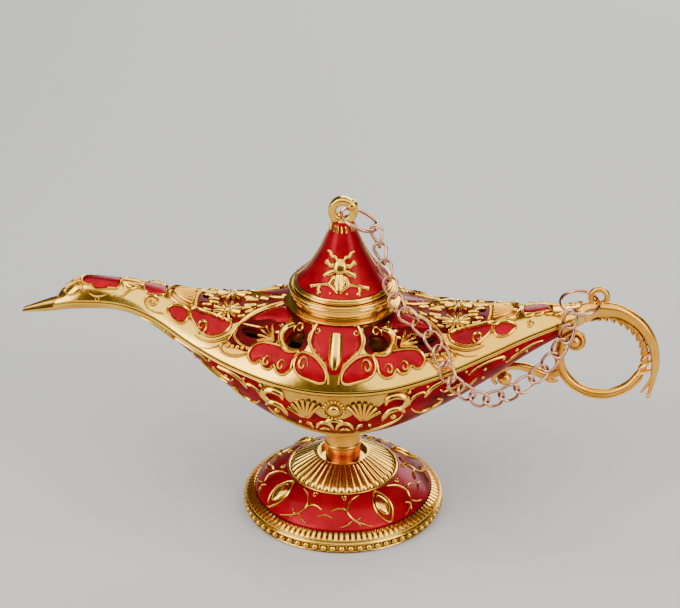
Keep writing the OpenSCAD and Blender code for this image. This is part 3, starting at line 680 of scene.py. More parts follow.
def reach_inside(outline, u, v):
    """How far places lie inside an outline, in millimetres: negative outside it."""
    rim = [(p[0], p[1]) for p in smooth_path(outline, closed=True, step=0.5)]
    best, inside = np.full(len(u), 99.0), np.zeros(len(u), bool)
    for (ax, ay), (bx, by) in zip(rim, rim[1:] + rim[:1]):
        length = (bx - ax) ** 2 + (by - ay) ** 2 + 1e-12
        share = np.clip(((u - ax) * (bx - ax) + (v - ay) * (by - ay)) / length, 0, 1)
        best = np.minimum(best, np.hypot(u - ax - share * (bx - ax), v - ay - share * (by - ay)))
        inside ^= ((ay > v) != (by > v)) & (u < ax + (v - ay) * (bx - ax) / (by - ay + 1e-12))
    return np.where(inside, best, -best)


def glazed(name, plate, bright, deep):
    """The plating with enamel in its sunk grounds. The mesh says how deep in a ground it is."""
    metal = Finish(name, plate)
    ground = metal.add("Attribute", {}, attribute_name="ground").outputs["Fac"]
    cover = metal.spread(ground, 0, 1, -0.05, 0.05)
    plated, worn = (metal.shader.inputs[socket].links[0].from_socket
                    for socket in ("Base Color", "Roughness"))
    metal.fill(metal.shader, {
        "Specular IOR Level": 0.06,
        "Base Color": metal.mix(cover, plated, metal.tones(metal.noise(240, 4), 0.35, deep, 0.65, bright)),
        "Metallic": metal.spread(cover, 1.0, 0.2),
        "Roughness": metal.add("Mix", {"Factor": cover, 2: worn, 3: 0.38}).outputs[0]})
    return metal.material


def mark_ground(obj, depths):
    """Writes on the mesh how deep each point lies in a ground, in millimetres."""
    ground = obj.data.attributes.new("ground", "FLOAT", "POINT")
    ground.data.foreach_set("value", np.array(depths, dtype=np.float32))


def vertex_table(obj):
    """A mesh's points in millimetres, one row each."""
    return np.array([v.co[:] for v in obj.data.vertices]) / MM


# Red over the belly, apart from the gold field behind the shells and the gold of the spout
degree = 0.27                           # about how far one degree round the bowl is, in millimetres
red_from, red_to = -34, 42              # where the red ends on spout and tail
half_field = [(2.4, 5.8), (4.4, 4.2), (6.8, 4.4), (8.9, 3.2), (9.8, 2.0), (12.5, 1.6), (15, 0.8), (17.5, -3)]
gold_field = [(-x, v) for x, v in reversed(half_field)] + [(0, 6.0)] + half_field
xs, ys, zs = vertex_table(bowl).T
half_ws, rims, crowns, keels = np.array([body_at(x) for x in xs]).T
turns = np.degrees(np.arcsin(np.clip((rims - zs) / (rims - keels), 0, 1)))
fullness = np.maximum(0, 1 - np.sin(np.radians(turns)) ** bowl_fullness) ** (1 / bowl_fullness)
outside = (np.abs(ys) > half_ws * bowl_share * fullness - 0.3) | ((turns > 80) & (zs < keels + 0.4))
outside &= np.hypot(xs, ys) > boss_r + 0.05     # the boss stays gold
mark_ground(bowl, np.minimum.reduce([
    (turns - 2.5) * degree, -reach_inside(gold_field, xs, turns * degree),
    xs - red_from - 0.12 * turns, red_to - xs, np.where(outside, 9.0, -1.0)]))
# the bowl's gold has strong, wide painted shade in its recesses
bowl_gold = gold_plate("bowl_gold", (0.92, 0.53, 0.09), (0.66, 0.33, 0.04), 0.19, 0.9, 2 * MM)
bowl_metal = glazed("bowl_metal", bowl_gold, (0.36, 0.0003, 0.009), (0.13, 0.0002, 0.003))
settle(bowl, "bowl_shell", bowl_metal, "lamp", "plated_gold", "lower_bowl", smooth=50)


def bowl_surface(side):
    """The bowl's outside on one side (-1 is the front), by x and by degrees under the rim."""
    def surface(x, turn):
        w, rim, crown, keel = body_at(x)
        y, drop = bowl_arc(turn, w * bowl_share, rim - keel)
        return Vector((x, side * y, rim - drop))
    return surface


# One half of the bowl's ornament, by x from its middle and by degrees under the rim
eye_beads = 18
shell_ribs = [(2.55, 9.5), (3.6, 7.6), (4.75, 7.0), (5.95, 7.6), (7.1, 9.8), (8.1, 13.2), (8.8, 17.8)]
bowl_strokes = [
    # an arch over a small red eye, and the flames beside it
    ([(0.2, 35), (0.7, 29), (1.8, 26.5), (3.0, 29), (3.5, 36)], 0.8, 0.55, (0.6, 0.4)),
    ([(0.9, 36), (1.9, 34.5), (2.9, 37)], 0.5, 0.4),
    ([(0.0, 23.0), (0.9, 24.0), (1.8, 25.5)], 1.0, 0.6, (0.9, 0.4)),
    ([(4.1, 36), (4.5, 31.5), (5.3, 30.5)], 0.6, 0.5, (0.5, 0.9)),
    # the double scroll at the end of the gold field
    ([(9.7, 12), (10.2, 7), (11.6, 5.6), (13.1, 8.5), (13.6, 14), (12.8, 19), (11.2, 20.5)], 1.5, 0.85,
     (0.3, 0.5)),
    ([(9.0, 29), (9.5, 23), (10.8, 19), (12.3, 20), (13.0, 25.5)], 1.2, 0.75, (0.3, 0.6)),
    # the stems and hooks that run on towards spout and handle
    ([(13.9, 20), (14.3, 14.5), (15.3, 11), (16.6, 10.5), (17.3, 13.5)], 0.7, 0.5, (0.5, 0.7)),
    ([(14.3, 24), (14.9, 31), (16.2, 38), (17.8, 40.5), (19.3, 37), (19.9, 31), (19.0, 26)], 0.62, 0.45,
     (0.4, 0.8)),
    ([(16.8, 17), (18.2, 9.5), (20.4, 6.5), (22.6, 8)], 0.9, 0.5, (0.3, 0.9)),
    ([(19.6, 15), (20.6, 20), (22.6, 21), (23.9, 17)], 0.6, 0.42, (0.4, 0.9)),
    ([(20.9, 29), (22.6, 33), (25.0, 31), (26.4, 25)], 0.6, 0.42),
    ([(24.8, 13), (26.5, 8), (29.0, 7), (31.2, 11), (31.2, 17)], 0.6, 0.42, (0.4, 0.9)),
    ([(31.6, 28), (34.0, 22), (36.6, 17), (38.4, 20)], 0.6, 0.42),
    # the rib that sweeps under the bowl to the stem
    ([(12.8, 29), (11.6, 35), (8.2, 41), (4.0, 44), (0.0, 45.5)], 0.5, 0.42, (0.4, 0.9))]
bowl_balls = [(14.0, 5.5, 0.9), (17.4, 6.0, 0.7), (24.4, 6.5, 0.7), (21.0, 15.5, 0.8), (27.8, 16.5, 0.8),
              (27.4, 31.0, 0.8), (33.6, 11.0, 0.8), (35.4, 28.0, 0.7), (6.6, 33.0, 0.7)]
for side, face_name in ((-1, "front"), (1, "back")):
    gold_work = Relief(bowl_surface(side), facing=side)
    gold_work.stroke([(x, 1.6) for x in range(-38, 44, 3)], 0.5, 0.3, ends=(0.2, 0.2))
    # the eye between the shells, in a ring of beads
    gold_work.boss(0, 13.5, 2.5, 2.5, 0.95, sides=24, rings=6)
    for k in range(eye_beads):
        a = FULL_TURN * k / eye_beads
        gold_work.ball(1.95 * math.cos(a), 13.5 + 7.6 * math.sin(a), 0.62, 0.5, sides=8)
    for hand in (-1, 1):
        gold_work.mirror(hand, 1)
        for x, turn in shell_ribs:
            root_x, root_turn = 5.4 + 0.12 * (x - 5.4), 24.5
            waist = (root_x + 0.45 * (x - root_x), root_turn + 0.55 * (turn - root_turn))
            gold_work.stroke([(root_x, root_turn), waist, (x, turn)], 0.85, 0.62, ends=(0.3, 1.0))
        gold_work.strokes(*bowl_strokes)
        gold_work.boss(11.0, 27.5, 1.3, 1.3, 0.65)
        for x, turn, size in bowl_balls:
            gold_work.ball(x, turn, size, 0.42, sides=10)
    settle(gold_work.build(), "bowl_ornament_" + face_name, pale_gold, "lamp", "plated_gold")


# ------------------------------------------------------------------------------------------
# The upper shell: the cast lid of the body, with a broad polished band round its rim, a hood
# over the spout and openings pierced through the crown.
# ------------------------------------------------------------------------------------------
collar_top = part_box("lid_collar")[1][2] / MM
throat_r, collar_r = 8.4, 10.0
crown_power = 2.5                       # how square the crown's arch is
crown_steps, crown_rate = 28, 12
mouth_section = 14                      # the section where the hood's mouth begins


def mouth_lean(x):
    """How far the hood's mouth leans back over the spout, for each millimetre of height."""
    return 0.5 * max(0.0, min(1.0, (-47 - x) / 8)) ** 2


def crown_surface(x, y):
    """The top of the upper shell over a point of the plan."""
    w, rim, crown, keel = body_at(x)
    share = min(abs(y) / w, 1.0)
    z = rim + lip_h + (crown - rim - lip_h) * (1 - share ** crown_power)
    return Vector((x + mouth_lean(x) * (z - rim), y, z))


# The rim's edge: a round bead below, a fine groove, then the foot of the band
rim_edge = [(-0.30, 0.0), (-0.06, 0.04), (0.0, 0.22), (-0.05, 0.42), (-0.38, 0.50), (-0.38, 0.62),
            (-0.06, 0.72), (-0.02, 0.86)]
# Shares of the half width, closer together towards both sides
across_shares = [math.sin(math.pi / 2 * (k / crown_steps - 1)) for k in range(2 * crown_steps + 1)]
shell_sections = []
for n in range(mouth_section, body_spans * crown_rate + 1):
    x, w, rim, crown, keel = body_section(n / crown_rate)
    rim += 0.05
    arch = crown - rim - lip_h
    fine = min(1.0, w / 6)
    land = min(2.2, 0.45 * w)
    inner_arch = crown - min(wall, 0.3 * (crown - rim)) - rim
    outer = [(-w - dy * fine, rim + dz) for dy, dz in rim_edge]
    outer += [(q * w * 0.995, rim + lip_h + arch * (1 - abs(q) ** crown_power)) for q in across_shares]
    outer += [(w + dy * fine, rim + dz) for dy, dz in reversed(rim_edge)]
    inner = []
    for y, z in reversed(outer):
        q = max(-1.0, min(1.0, y / w))
        inner.append((q * (w - land), rim + inner_arch * (1 - abs(q) ** crown_power)))
    shell_sections.append([(x + mouth_lean(x) * (z - rim), y, z) for y, z in outer + inner])
shell = skinned(shell_sections)


def cut_oval(body, x, y, length, width, turn, bottom=36, top=60):
    """Cuts an upright opening with an oval outline, in millimetres and degrees."""
    bpy.ops.object.select_all(action="DESELECT")
    bpy.ops.mesh.primitive_cylinder_add(vertices=48, radius=0.5, depth=1)
    cutter = bpy.context.object
    cutter.matrix_world = (Matrix.Translation(Vector((x, y, (bottom + top) / 2)) * MM)
                           @ Matrix.Rotation(math.radians(turn), 4, "Z")
                           @ Matrix.Diagonal((length * MM, width * MM, (top - bottom) * MM, 1)))
    bpy.ops.object.transform_apply(location=True, rotation=True, scale=True)
    cut = body.modifiers.new("cut", "BOOLEAN")
    cut.operation = "DIFFERENCE"
    cut.solver = "MANIFOLD"
    cut.object = cutter
    bpy.context.view_layer.objects.active = body
    bpy.ops.object.modifier_apply(modifier="cut")
    bpy.data.objects.remove(cutter)


# The plan is the same in all four quarters, so each place is given once, as the distance
# along the body and the distance across it
quarters = [(sx, sy) for sx in (-1, 1) for sy in (-1, 1)]
throat_cut = 2 * collar_r + 0.1
cut_oval(shell, 0, 0, throat_cut, throat_cut, 0)
for sx, sy in quarters:
    # a round opening beside the horseshoe, a slot next to it, and a small hole near the body's end
    cut_oval(shell, 7.8 * sx, 11.1 * sy, 3.7, 3.5, 5 * sx * sy)
    cut_oval(shell, 16.4 * sx, 8.4 * sy, 4.6, 1.9, -22 * sx * sy)
    cut_oval(shell, 26.6 * sx, 1.4 * sy, 1.5, 1.52, 3.3, bottom=38, top=52)


def both_sides(half):
    """An outline from the half of it that has positive y."""
    return half + [(x, -y) for x, y in reversed(half) if y]


# The sunk grounds of the openwork beside the collar and of the daisies are dark enamel
openwork = [(4.6, 9.6), (5.5, 11.2), (5.2, 12.7), (6.2, 13.2), (7.4, 12.9), (8.8, 12.2), (10.7, 11.4),
            (12.7, 10.7), (14.4, 10.3), (15.8, 10.8), (16.6, 11.7), (18.4, 11.2), (20.2, 10.2), (21.0, 9.2),
            (20.2, 8.2), (18.8, 6.5), (17.2, 4.9), (15.6, 3.5), (13.4, 2.3), (11.2, 1.5), (9.9, 3.0),
            (8.2, 6.0), (6.4, 8.2)]
daisy_field = both_sides([(10.6, 1.2), (11.5, 1.0), (13.6, 1.5), (16.0, 2.8), (17.6, 4.2), (19.1, 5.8),
                          (20.6, 6.4), (21.5, 5.4), (23.6, 4.4), (26.1, 3.7), (27.9, 3.2), (28.4, 1.8)])
xs, ys, zs = vertex_table(shell).T
heights = np.array([crown_surface(x, y).z for x, y in zip(xs, ys)])
depths = np.maximum(reach_inside(openwork, np.abs(xs), np.abs(ys)), reach_inside(daisy_field, np.abs(xs), ys))
mark_ground(shell, np.where(zs > heights - 0.35, depths, -1.0))
crown_metal = glazed("crown_metal", pale_gold, (0.16, 0.002, 0.003), (0.06, 0.0008, 0.001))
settle(shell, "crown_shell", crown_metal, "lamp", "plated_gold", "upper_shell")


# ------------------------------------------------------------------------------------------
# The crown's enamel: cells of bright crimson along the rim band, beside the collar and on the
# ridges of spout and tail. Every cell is domed a little.
# ------------------------------------------------------------------------------------------
ear = [(7.5, 14.0), (6.5, 13.3), (4.6, 13.9), (2.8, 15.0), (1.6, 16.1), (1.6, 17.0), (2.7, 17.2), (4.6, 16.8),
       (6.5, 16.2), (7.6, 15.2)]
wing = [(7.0, 13.1), (8.8, 12.4), (10.7, 11.6), (12.7, 10.9), (14.5, 10.5), (16.0, 10.9), (16.7, 11.9),
        (16.3, 13.0), (15.2, 13.5), (14.3, 13.2), (13.6, 14.3), (12.4, 14.7), (11.6, 14.2), (11.0, 15.2),
        (9.7, 15.7), (8.4, 15.2), (7.9, 14.0)]
big_comma = [(28.9, 4.1), (27.8, 3.4), (26.1, 3.9), (23.6, 4.6), (21.5, 5.6), (20.7, 6.6), (21.6, 8.0),
             (23.8, 8.6), (26.0, 8.1), (27.5, 6.8), (28.6, 5.5)]
small_comma = [(33.2, 4.5), (32.0, 3.5), (30.2, 3.5), (29.1, 4.5), (29.3, 5.9), (30.4, 6.5), (32.2, 5.8)]
beside_collar = [(17.0, 5.2), (15.4, 3.8), (13.5, 2.6), (11.6, 1.9), (10.2, 3.0), (9.4, 5.4), (9.6, 7.2),
                 (11.6, 6.9), (13.6, 5.9), (15.5, 5.9)]
half_disc = [(3.5, 9.5), (4.4, 10.7), (4.7, 12.2), (4.1, 13.4), (2.9, 14.4), (1.6, 15.4), (0.9, 16.4)]
disc = half_disc + [(-x, y) for x, y in reversed(half_disc)] + [(0.0, 9.6)]
ridge_cells = [both_sides(half) for half in (
    [(-50.8, 0.9), (-49.8, 1.5), (-48.4, 1.7), (-47.4, 2.2), (-45.1, 2.1), (-43.3, 2.0), (-42.9, 0.8)],
    [(-38.3, 0.8), (-37.8, 1.9), (-36.2, 2.2), (-34.4, 1.8), (-34.0, 0.6)],
    [(34.4, 0.7), (34.9, 1.6), (36.6, 1.8), (38.6, 1.5), (39.8, 0.6)])]

red_cells = Relief(crown_surface)
for sx, sy in quarters:
    red_cells.mirror(sx, sy)
    for cell in (ear, wing, big_comma, small_comma, beside_collar):
        red_cells.panel(cell, 0.16)
for sy in (-1, 1):
    red_cells.mirror(1, sy)
    red_cells.panel(disc, 0.16)
settle(red_cells.build(), "crown_enamel", crimson, "lamp", "red_enamel")
spout_cells = Relief(crown_surface)
for cell in ridge_cells:
    spout_cells.panel(cell, 0.22, edge=0.6)
settle(spout_cells.build(), "spout_enamel", crimson, "lamp", "red_enamel")


# ------------------------------------------------------------------------------------------
# The crown's gold work, cast with the shell and polished: the cells' edges, the scrolls and
# leaves round the openings, the horseshoe and tongue under the collar, the daisies, and the
# hood over the spout, an arched moulding with a bead at its mouth.
# ------------------------------------------------------------------------------------------
sweep = [(27.6, 8.2), (26.0, 9.0), (23.5, 9.4), (20.6, 8.6), (19.0, 6.3), (17.6, 4.5), (16.0, 3.1),
         (13.6, 1.7), (11.4, 0.9)]
quarter_strokes = [
    # the line that sweeps from the rim band to the collar, its shadow line and its branch
    (sweep, 0.6, 0.5, (0.4, 0.6)),
    ([(x + 0.5, y + 0.9) for x, y in sweep[1:-1]], 0.36, 0.36),
    ([(20.8, 9.5), (22.2, 10.1), (21.9, 11.0), (20.4, 11.7), (18.6, 12.0), (17.0, 11.9)], 0.7, 0.6),
    # the scroll round the near opening
    ([(8.0, 8.4), (9.7, 8.4), (10.6, 9.7), (10.3, 11.2), (9.2, 12.5), (7.0, 13.1)], 1.45, 0.95, (0.5, 0.35)),
    (curl((7.2, 9.3), 1.1, -1.1, 20), 0.5, 0.5),
    # round the far slot
    ([(19.3, 7.6), (19.7, 9.0), (18.3, 10.4), (16.6, 11.1)], 0.7, 0.65),
    ([(18.4, 6.5), (16.6, 7.1), (14.6, 7.7), (13.2, 7.7)], 0.5, 0.45),
    # half of the horseshoe under the collar
    ([(3.0, 9.9), (3.6, 9.5), (4.5, 10.6), (4.8, 12.2), (4.2, 13.5), (3.0, 14.5), (1.7, 15.5), (1.2, 16.4),
      (1.0, 17.3)], 0.7, 0.6, (0.9, 0.6)),
    (curl((3.5, 10.7), 0.62, 1.0, 320), 0.42, 0.42, (0.6, 1.0)),
    # leaf lobes that run from the collar's foot to the sides
    ([(9.2, 6.0), (9.0, 7.4), (8.2, 8.2)], 0.9, 0.5),
    ([(10.8, 1.6), (11.6, 1.8), (12.6, 2.3)], 0.8, 0.5)]
# Curls in the cells: middle, radius, turns, start, width and height
cell_curls = [((6.0, 14.9), 1.05, 1.15, 150, 0.6, 0.6), ((26.3, 6.9), 1.25, 1.2, 60, 0.65, 0.6),
              ((13.0, 13.6), 0.85, 1.1, 200, 0.55, 0.55), ((10.2, 14.5), 0.85, 1.1, 180, 0.55, 0.55)]
# Leaf lobes of the near scroll, and small leaves over the dark ground: root and tip, then width
scroll_lobes = [((10.0, 8.6), (11.2, 7.8)), ((10.6, 9.6), (11.9, 9.2)), ((10.4, 10.8), (11.5, 11.2)),
                ((9.4, 8.3), (9.8, 7.3))]
ground_leaves = [
    ((18.4, 3.6), (16.6, 2.2), 0.8), ((19.6, 4.6), (18.2, 4.2), 0.7), ((18.8, 1.0), (16.4, 0.9), 0.9),
    ((25.0, 3.4), (26.8, 2.9), 0.7), ((25.2, 1.5), (27.0, 1.9), 0.7), ((16.2, 1.7), (14.4, 0.9), 0.7),
    ((19.2, 2.2), (17.2, 1.5), 0.8), ((20.6, 5.5), (21.8, 5.0), 0.7), ((24.0, 0.6), (26.0, 0.4), 0.7)]
petal_count, daisy_x, daisy_y = 12, 21.9, 3.2
crown_work = Relief(crown_surface)
flowers = Relief(crown_surface)
for sx, sy in quarters:
    crown_work.mirror(sx, sy)
    flowers.mirror(sx, sy)
    for cell in (ear, wing, big_comma, small_comma):
        crown_work.stroke(cell, 0.62, 0.5, closed=True)
    for middle, radius, turns, start, width, height in cell_curls:
        crown_work.stroke(curl(middle, radius, turns, start), width, height, lift=0.12)
    crown_work.strokes(*quarter_strokes)
    for root, tip in scroll_lobes:
        crown_work.leaf(root, tip, (0, -0.15), 0.95, 0.7, (1.0, 0.45))
    # the fan of leaves between the two openings
    for tip in ((15.1, 10.2), (15.0, 9.3), (14.5, 8.5), (13.6, 7.9), (12.5, 7.6)):
        crown_work.leaf((11.9, 10.8), tip, (0.15, -0.2), 0.72, 0.75, (0.45, 0.8), lift=0.1)
    for k in range(5):
        crown_work.boss(20.9 - 1.0 * k, 10.3 + 0.22 * k, 1.0, 0.95, 0.62, sides=12, rings=3)
    for root, tip, width in ground_leaves:
        crown_work.leaf(root, tip, (0, 0.2), width, 0.5, (0.7, 0.3))
    for k in range(petal_count):
        a = FULL_TURN * (k + 0.5) / petal_count
        petal = [(daisy_x + out * math.cos(a), daisy_y + up * math.sin(a))
                 for out, up in ((0.6, 0.6), (1.7, 1.65), (2.75, 2.65))]
        flowers.stroke(petal, 0.66, 0.72, ends=(0.45, 1.0), lift=0.12)
    flowers.boss(daisy_x, daisy_y, 1.25, 1.25, 0.95, sides=14)
for sy in (-1, 1):
    # the tongue in the horseshoe
    crown_work.mirror(1, sy)
    crown_work.stroke([(0, 11.6), (0, 13.0), (0, 14.6), (0, 15.9)], 2.5, 0.9, ends=(0.95, 0.4))
for cell in ridge_cells:
    crown_work.stroke(cell, 0.4, 0.42, closed=True)

side_strokes = [
    # the bead and the curl at the hood's mouth
    ([(-54.9, 1.3), (-54.6, 0.4), (-53.4, 0.1), (-51.9, 0.8), (-50.5, 1.9), (-49.6, 2.5)], 0.55, 0.45,
     (0.7, 0.4)),
    ([(-50.6, 2.6), (-50.4, 1.4), (-51.6, 0.8), (-53.2, 0.9), (-54.4, 1.7)], 0.42, 0.42),
    # scrolls down the hood's side
    ([(-43.4, 3.0), (-42.0, 2.9), (-40.9, 2.2), (-39.5, 1.4), (-38.3, 1.5)], 0.5, 0.42),
    (curl((-36.3, 3.4), 1.6, 1.35, 110, 0.8), 0.62, 0.6, (0.4, 1.0)),
    ([(-37.0, 4.5), (-35.4, 5.0), (-33.8, 5.2)], 0.45, 0.4),
    (curl((-47.0, 3.2), 0.5, 1.1, 60, 0.8), 0.34, 0.34),
    ([(-48.8, 2.6), (-47.6, 2.9), (-46.2, 2.9), (-45.0, 2.7)], 0.42, 0.38),
    # the handle's end
    (curl((35.8, 3.9), 0.9, -1.2, 120, 0.8), 0.42, 0.4)]
cup_edge = [(27.9, 2.9), (28.9, 3.4), (30.6, 3.3), (32.4, 2.6), (33.5, 1.4), (33.8, 0.0)]
for side in (-1, 1):
    crown_work.mirror(1, side)
    crown_work.strokes(*side_strokes)
    crown_work.boss(-54.9, 1.2, 0.9, 0.9, 0.5, sides=12)
    crown_work.boss(-52.4, 2.0, 3.6, 2.0, 0.55, sides=24, rings=6)
    crown_work.ball(-44.1, 2.8, 0.7, 0.42, sides=10)
    for tip in ((-38.9, 0.35), (-39.3, 1.1), (-40.1, 1.8), (-41.2, 2.3)):
        crown_work.leaf((-42.7, 0.5), tip, (0, 0.15), 0.6, 0.45, (0.5, 0.7))
    for k in range(6):
        x, y = 35.0 + 1.8 * k, 0.16 * k
        crown_work.stroke([(x, 2.6 - y), (x + 1.0, 2.3 - y), (x + 2.0, 1.6 - y)], 0.6, 0.42, ends=(0.8, 0.3))
    # the edges of the cups at both ends of the daisies
    for end_side in (-1, 1):
        crown_work.mirror(end_side, side)
        crown_work.stroke(cup_edge, 0.55, 0.55, ends=(0.5, 0.9))
        for x, y in ((28.3, 0.35), (28.3, 1.1), (28.2, 1.85), (28.1, 2.5)):
            crown_work.boss(x, y, 0.9, 0.75, 0.6, sides=12, rings=3)

cup = both_sides([(28.4, 2.6), (29.4, 2.9), (30.8, 2.7), (32.3, 2.0), (33.2, 0.9), (33.4, 0.0)])
cups = Relief(crown_surface)
for end_side in (-1, 1):
    cups.mirror(end_side, 1)
    cups.panel(cup, 0.5, edge=1.6)
    for k in range(-3, 4):
        rib = [(32.6, 0.22 * k), (30.8, 0.62 * k), (28.9, 0.84 * k)]
        cups.stroke(rib, 0.6, 0.5, ends=(0.4, 1.0), lift=0.35)
settle(cups.build(), "crown_cups", amber_gold, "lamp", "plated_gold")
settle(crown_work.build(), "crown_scrolls", pale_gold, "lamp", "plated_gold")
settle(flowers.build(), "crown_daisies", bright_gold, "lamp", "plated_gold")


# ------------------------------------------------------------------------------------------
# The collar: turned and polished, round the throat that the lid drops into. It bellies out
# under a rolled lip and flares again where it seats in the shell, with four small quatrefoils.
# ------------------------------------------------------------------------------------------
collar_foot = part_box("lid_collar")[0][2] / MM
# Radius and height under the collar's top, from its lip down
collar_side = [(10.1, 0.0), (10.3, -0.08), (10.36, -0.28), (10.25, -0.48), (10.02, -0.58), (9.92, -0.7),
               (10.1, -0.86), (10.17, -1.1), (10.12, -1.45), (9.97, -1.8), (9.74, -2.15), (9.46, -2.45),
               (9.24, -2.66), (9.2, -2.82), (9.36, -2.97), (9.85, -3.1), (10.5, -3.2), (10.95, -3.3),
               (10.9, -3.36), (10.0, -3.4)]
collar_up = collar_side[::-1]
collar = turned([(throat_r + 0.2, collar_top), (throat_r, collar_top - 0.2), (throat_r, collar_foot),
                 (collar_r, collar_foot)] + [(r, collar_top + z) for r, z in collar_up], edge=0.03)
settle(collar, "throat_collar", pale_gold, "lamp", "plated_gold", "lid_collar", smooth=50)


def collar_surface(turn, height):
    """The collar's side, by angle in degrees and by height under its top."""
    a = math.radians(turn)
    r = float(np.interp(height, [z for r, z in collar_up], [r for r, z in collar_up]))
    return Vector((r * math.cos(a), r * math.sin(a), collar_top + height))


quatrefoils = Relief(collar_surface)
for turn in (-140, -40, 40, 140):
    quatrefoils.mirror(1, 1, turn, -1.75)
    quatrefoils.ball(0, 0, 0.55, 0.3, sides=10)
    for across, up in ((2.9, 0), (-2.9, 0), (0, 0.5), (0, -0.5)):
        quatrefoils.ball(across, up, 0.5, 0.2, sides=10)
settle(quatrefoils.build(), "collar_quatrefoils", pale_gold, "lamp", "plated_gold")


# ------------------------------------------------------------------------------------------
# The lid: a gold ring with a rolled edge, a hollow cone of eight soft facets enamelled red,
# and a rolled strap on its tip that the chain's ring hangs in. A plain tube under the ring
# drops into the throat.
# ------------------------------------------------------------------------------------------
lid_low, lid_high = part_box("lid_cone")
cone_foot, cone_tip = lid_low[2] / MM, lid_high[2] / MM
lid_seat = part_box("lid_ring")[0][2] / MM
lid_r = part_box("lid_ring")[1][0] / MM
lid_bore, lid_top = 7.2, 1.08
lid_edge = [(-0.25, 0.0), (-0.05, 0.1), (0, 0.28), (-0.06, 0.46), (-0.3, 0.56), (-0.36, 0.64), (-0.2, 0.74),
            (-0.16, 0.88), (-0.28, 1.02), (-0.55, lid_top)]
lid_rim = turned([(lid_bore, lid_seat)] + [(lid_r + r, lid_seat + z) for r, z in lid_edge]
                 + [(lid_bore, lid_seat + lid_top)], edge=0.02)
settle(lid_rim, "lid_edge", pale_gold, "lid", "plated_gold", "lid_ring", smooth=50)
repaint(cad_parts["lid_skirt"], pale_gold)

# the cone's outline: share of the lid's radius at a share of the cone's height
cone_sides = [(0.94, 0.00), (0.87, 0.06), (0.75, 0.16), (0.61, 0.31), (0.47, 0.50), (0.355, 0.70),
              (0.25, 0.88), (0.20, 1.00)]
cone_line = smooth_path(cone_sides, step=0.02)
cone_facets, cone_turns, cone_wall = 8, 192, 1.15


def cone_surface(turn, percent):
    """The cone's outside, by angle in degrees and by height in percent."""
    share = percent / 100
    r = lid_r * float(np.interp(share, [p[1] for p in cone_line], [p[0] for p in cone_line]))
    a = math.radians(turn)
    facet = abs(math.cos(cone_facets / 2 * (a + math.pi / 2)))
    r *= 1 - 0.022 * facet * facet * min(1.0, share * 8) * (1.1 - share)
    return Vector((r * math.cos(a), r * math.sin(a), cone_foot + share * (cone_tip - cone_foot)))


def cone_ring(level):
    return [cone_surface(360 * n / cone_turns, level) for n in range(cone_turns)]


# one skin, from the top of the hollow down inside and up again outside
cone_levels = [100 * k / 40 for k in range(41)]
cone_rings = []
for level in reversed(cone_levels[:34:3]):
    shrunk = [(p, 1 - cone_wall / math.hypot(p.x, p.y)) for p in cone_ring(level)]
    cone_rings.append([(p.x * share, p.y * share, max(cone_foot, p.z - 0.3)) for p, share in shrunk])
cone_rings += [cone_ring(level) for level in cone_levels]
cone = mesh_piece([p for ring in cone_rings for p in ring], tube_faces(len(cone_rings), cone_turns))
settle(cone, "lid_enamel", crimson, "lid", "red_enamel", "lid_cone", smooth=50)

# One half of the lid's ornament, by degrees from its middle and by height in percent: a smooth
# seed with leaves and balls round it, over a swallow-tailed scroll
lid_leaves = [([(6, 48), (13, 53), (21, 53), (28, 58), (36, 59)], 0.85),
              ([(10, 43), (19, 40), (28, 43), (32, 46)], 1.05),
              ([(9, 34), (17, 31), (26, 28)], 1.2),
              ([(3, 29), (4, 20), (2, 9)], 1.1, (0.9, 0.5)),
              ([(8, 27), (12, 22), (14, 17)], 1.1),
              ([(1, 6), (7, 11), (15, 15.5), (25, 14.5), (34, 11), (42, 8)], 0.85),
              ([(29, 13), (29, 8), (26, 4.5)], 0.8)]
lid_balls = [(31, 43, 1.0), (26, 27, 1.1), (15, 16.5, 1.0), (26, 4, 0.95), (41, 8, 0.9), (11, 5.5, 0.6)]
lid_work = Relief(cone_surface)
for front in (-90, 90):
    lid_work.mirror(1, 1, front)
    lid_work.boss(0, 40, 3.3, 2.7, 0.85, along=(0, 1), sides=24, rings=6)
    lid_work.boss(0, 19, 3.2, 2.2, 0.5, along=(0, 1), pointed=0.4, sides=20, rings=4)
    for hand in (-1, 1):
        lid_work.mirror(hand, 1, front)
        for path, width, *ends in lid_leaves:
            lid_work.stroke(path, width, 0.55, *(ends or [(0.6, 0.9)]), step=2.5)
        for turn, level, size in lid_balls:
            lid_work.ball(turn, level, size, 0.5)
lid_work.mirror(1, 1)
# drops under the strap's root, and the fine casting line down each side
for turn in (-128, -112, -92, -70, -40, 0, 40, 75, 100, 130, 165, 200):
    lid_work.stroke([(turn, 97), (turn + 3, 91), (turn + 2, 87)], 0.55, 0.36, ends=(0.7, 1.0), step=2.5)
for turn in (0, 180):
    lid_work.stroke([(turn, level) for level in (1, 15, 30, 50, 75, 96)], 0.34, 0.2, step=2.5)
settle(lid_work.build(), "lid_fleur", pale_gold, "lid", "plated_gold")


def bar_ring(groove=0.0, sides=20):
    """The outline of a bar, of about unit radius: a circle with a groove along both faces. The
    first value points to the left of the bar's path, the second one along Y."""
    ring = []
    for k in range(sides):
        a = FULL_TURN * k / sides
        off = min(abs(a - math.pi / 2), abs(a - 3 * math.pi / 2))
        dent = groove * math.exp(-((off / 0.28) ** 2))
        ring.append(((1 - 0.1 * dent) * math.cos(a), (1 - dent) * math.sin(a)))
    return ring


round_bar, grooved_bar = bar_ring(), bar_ring(0.16)


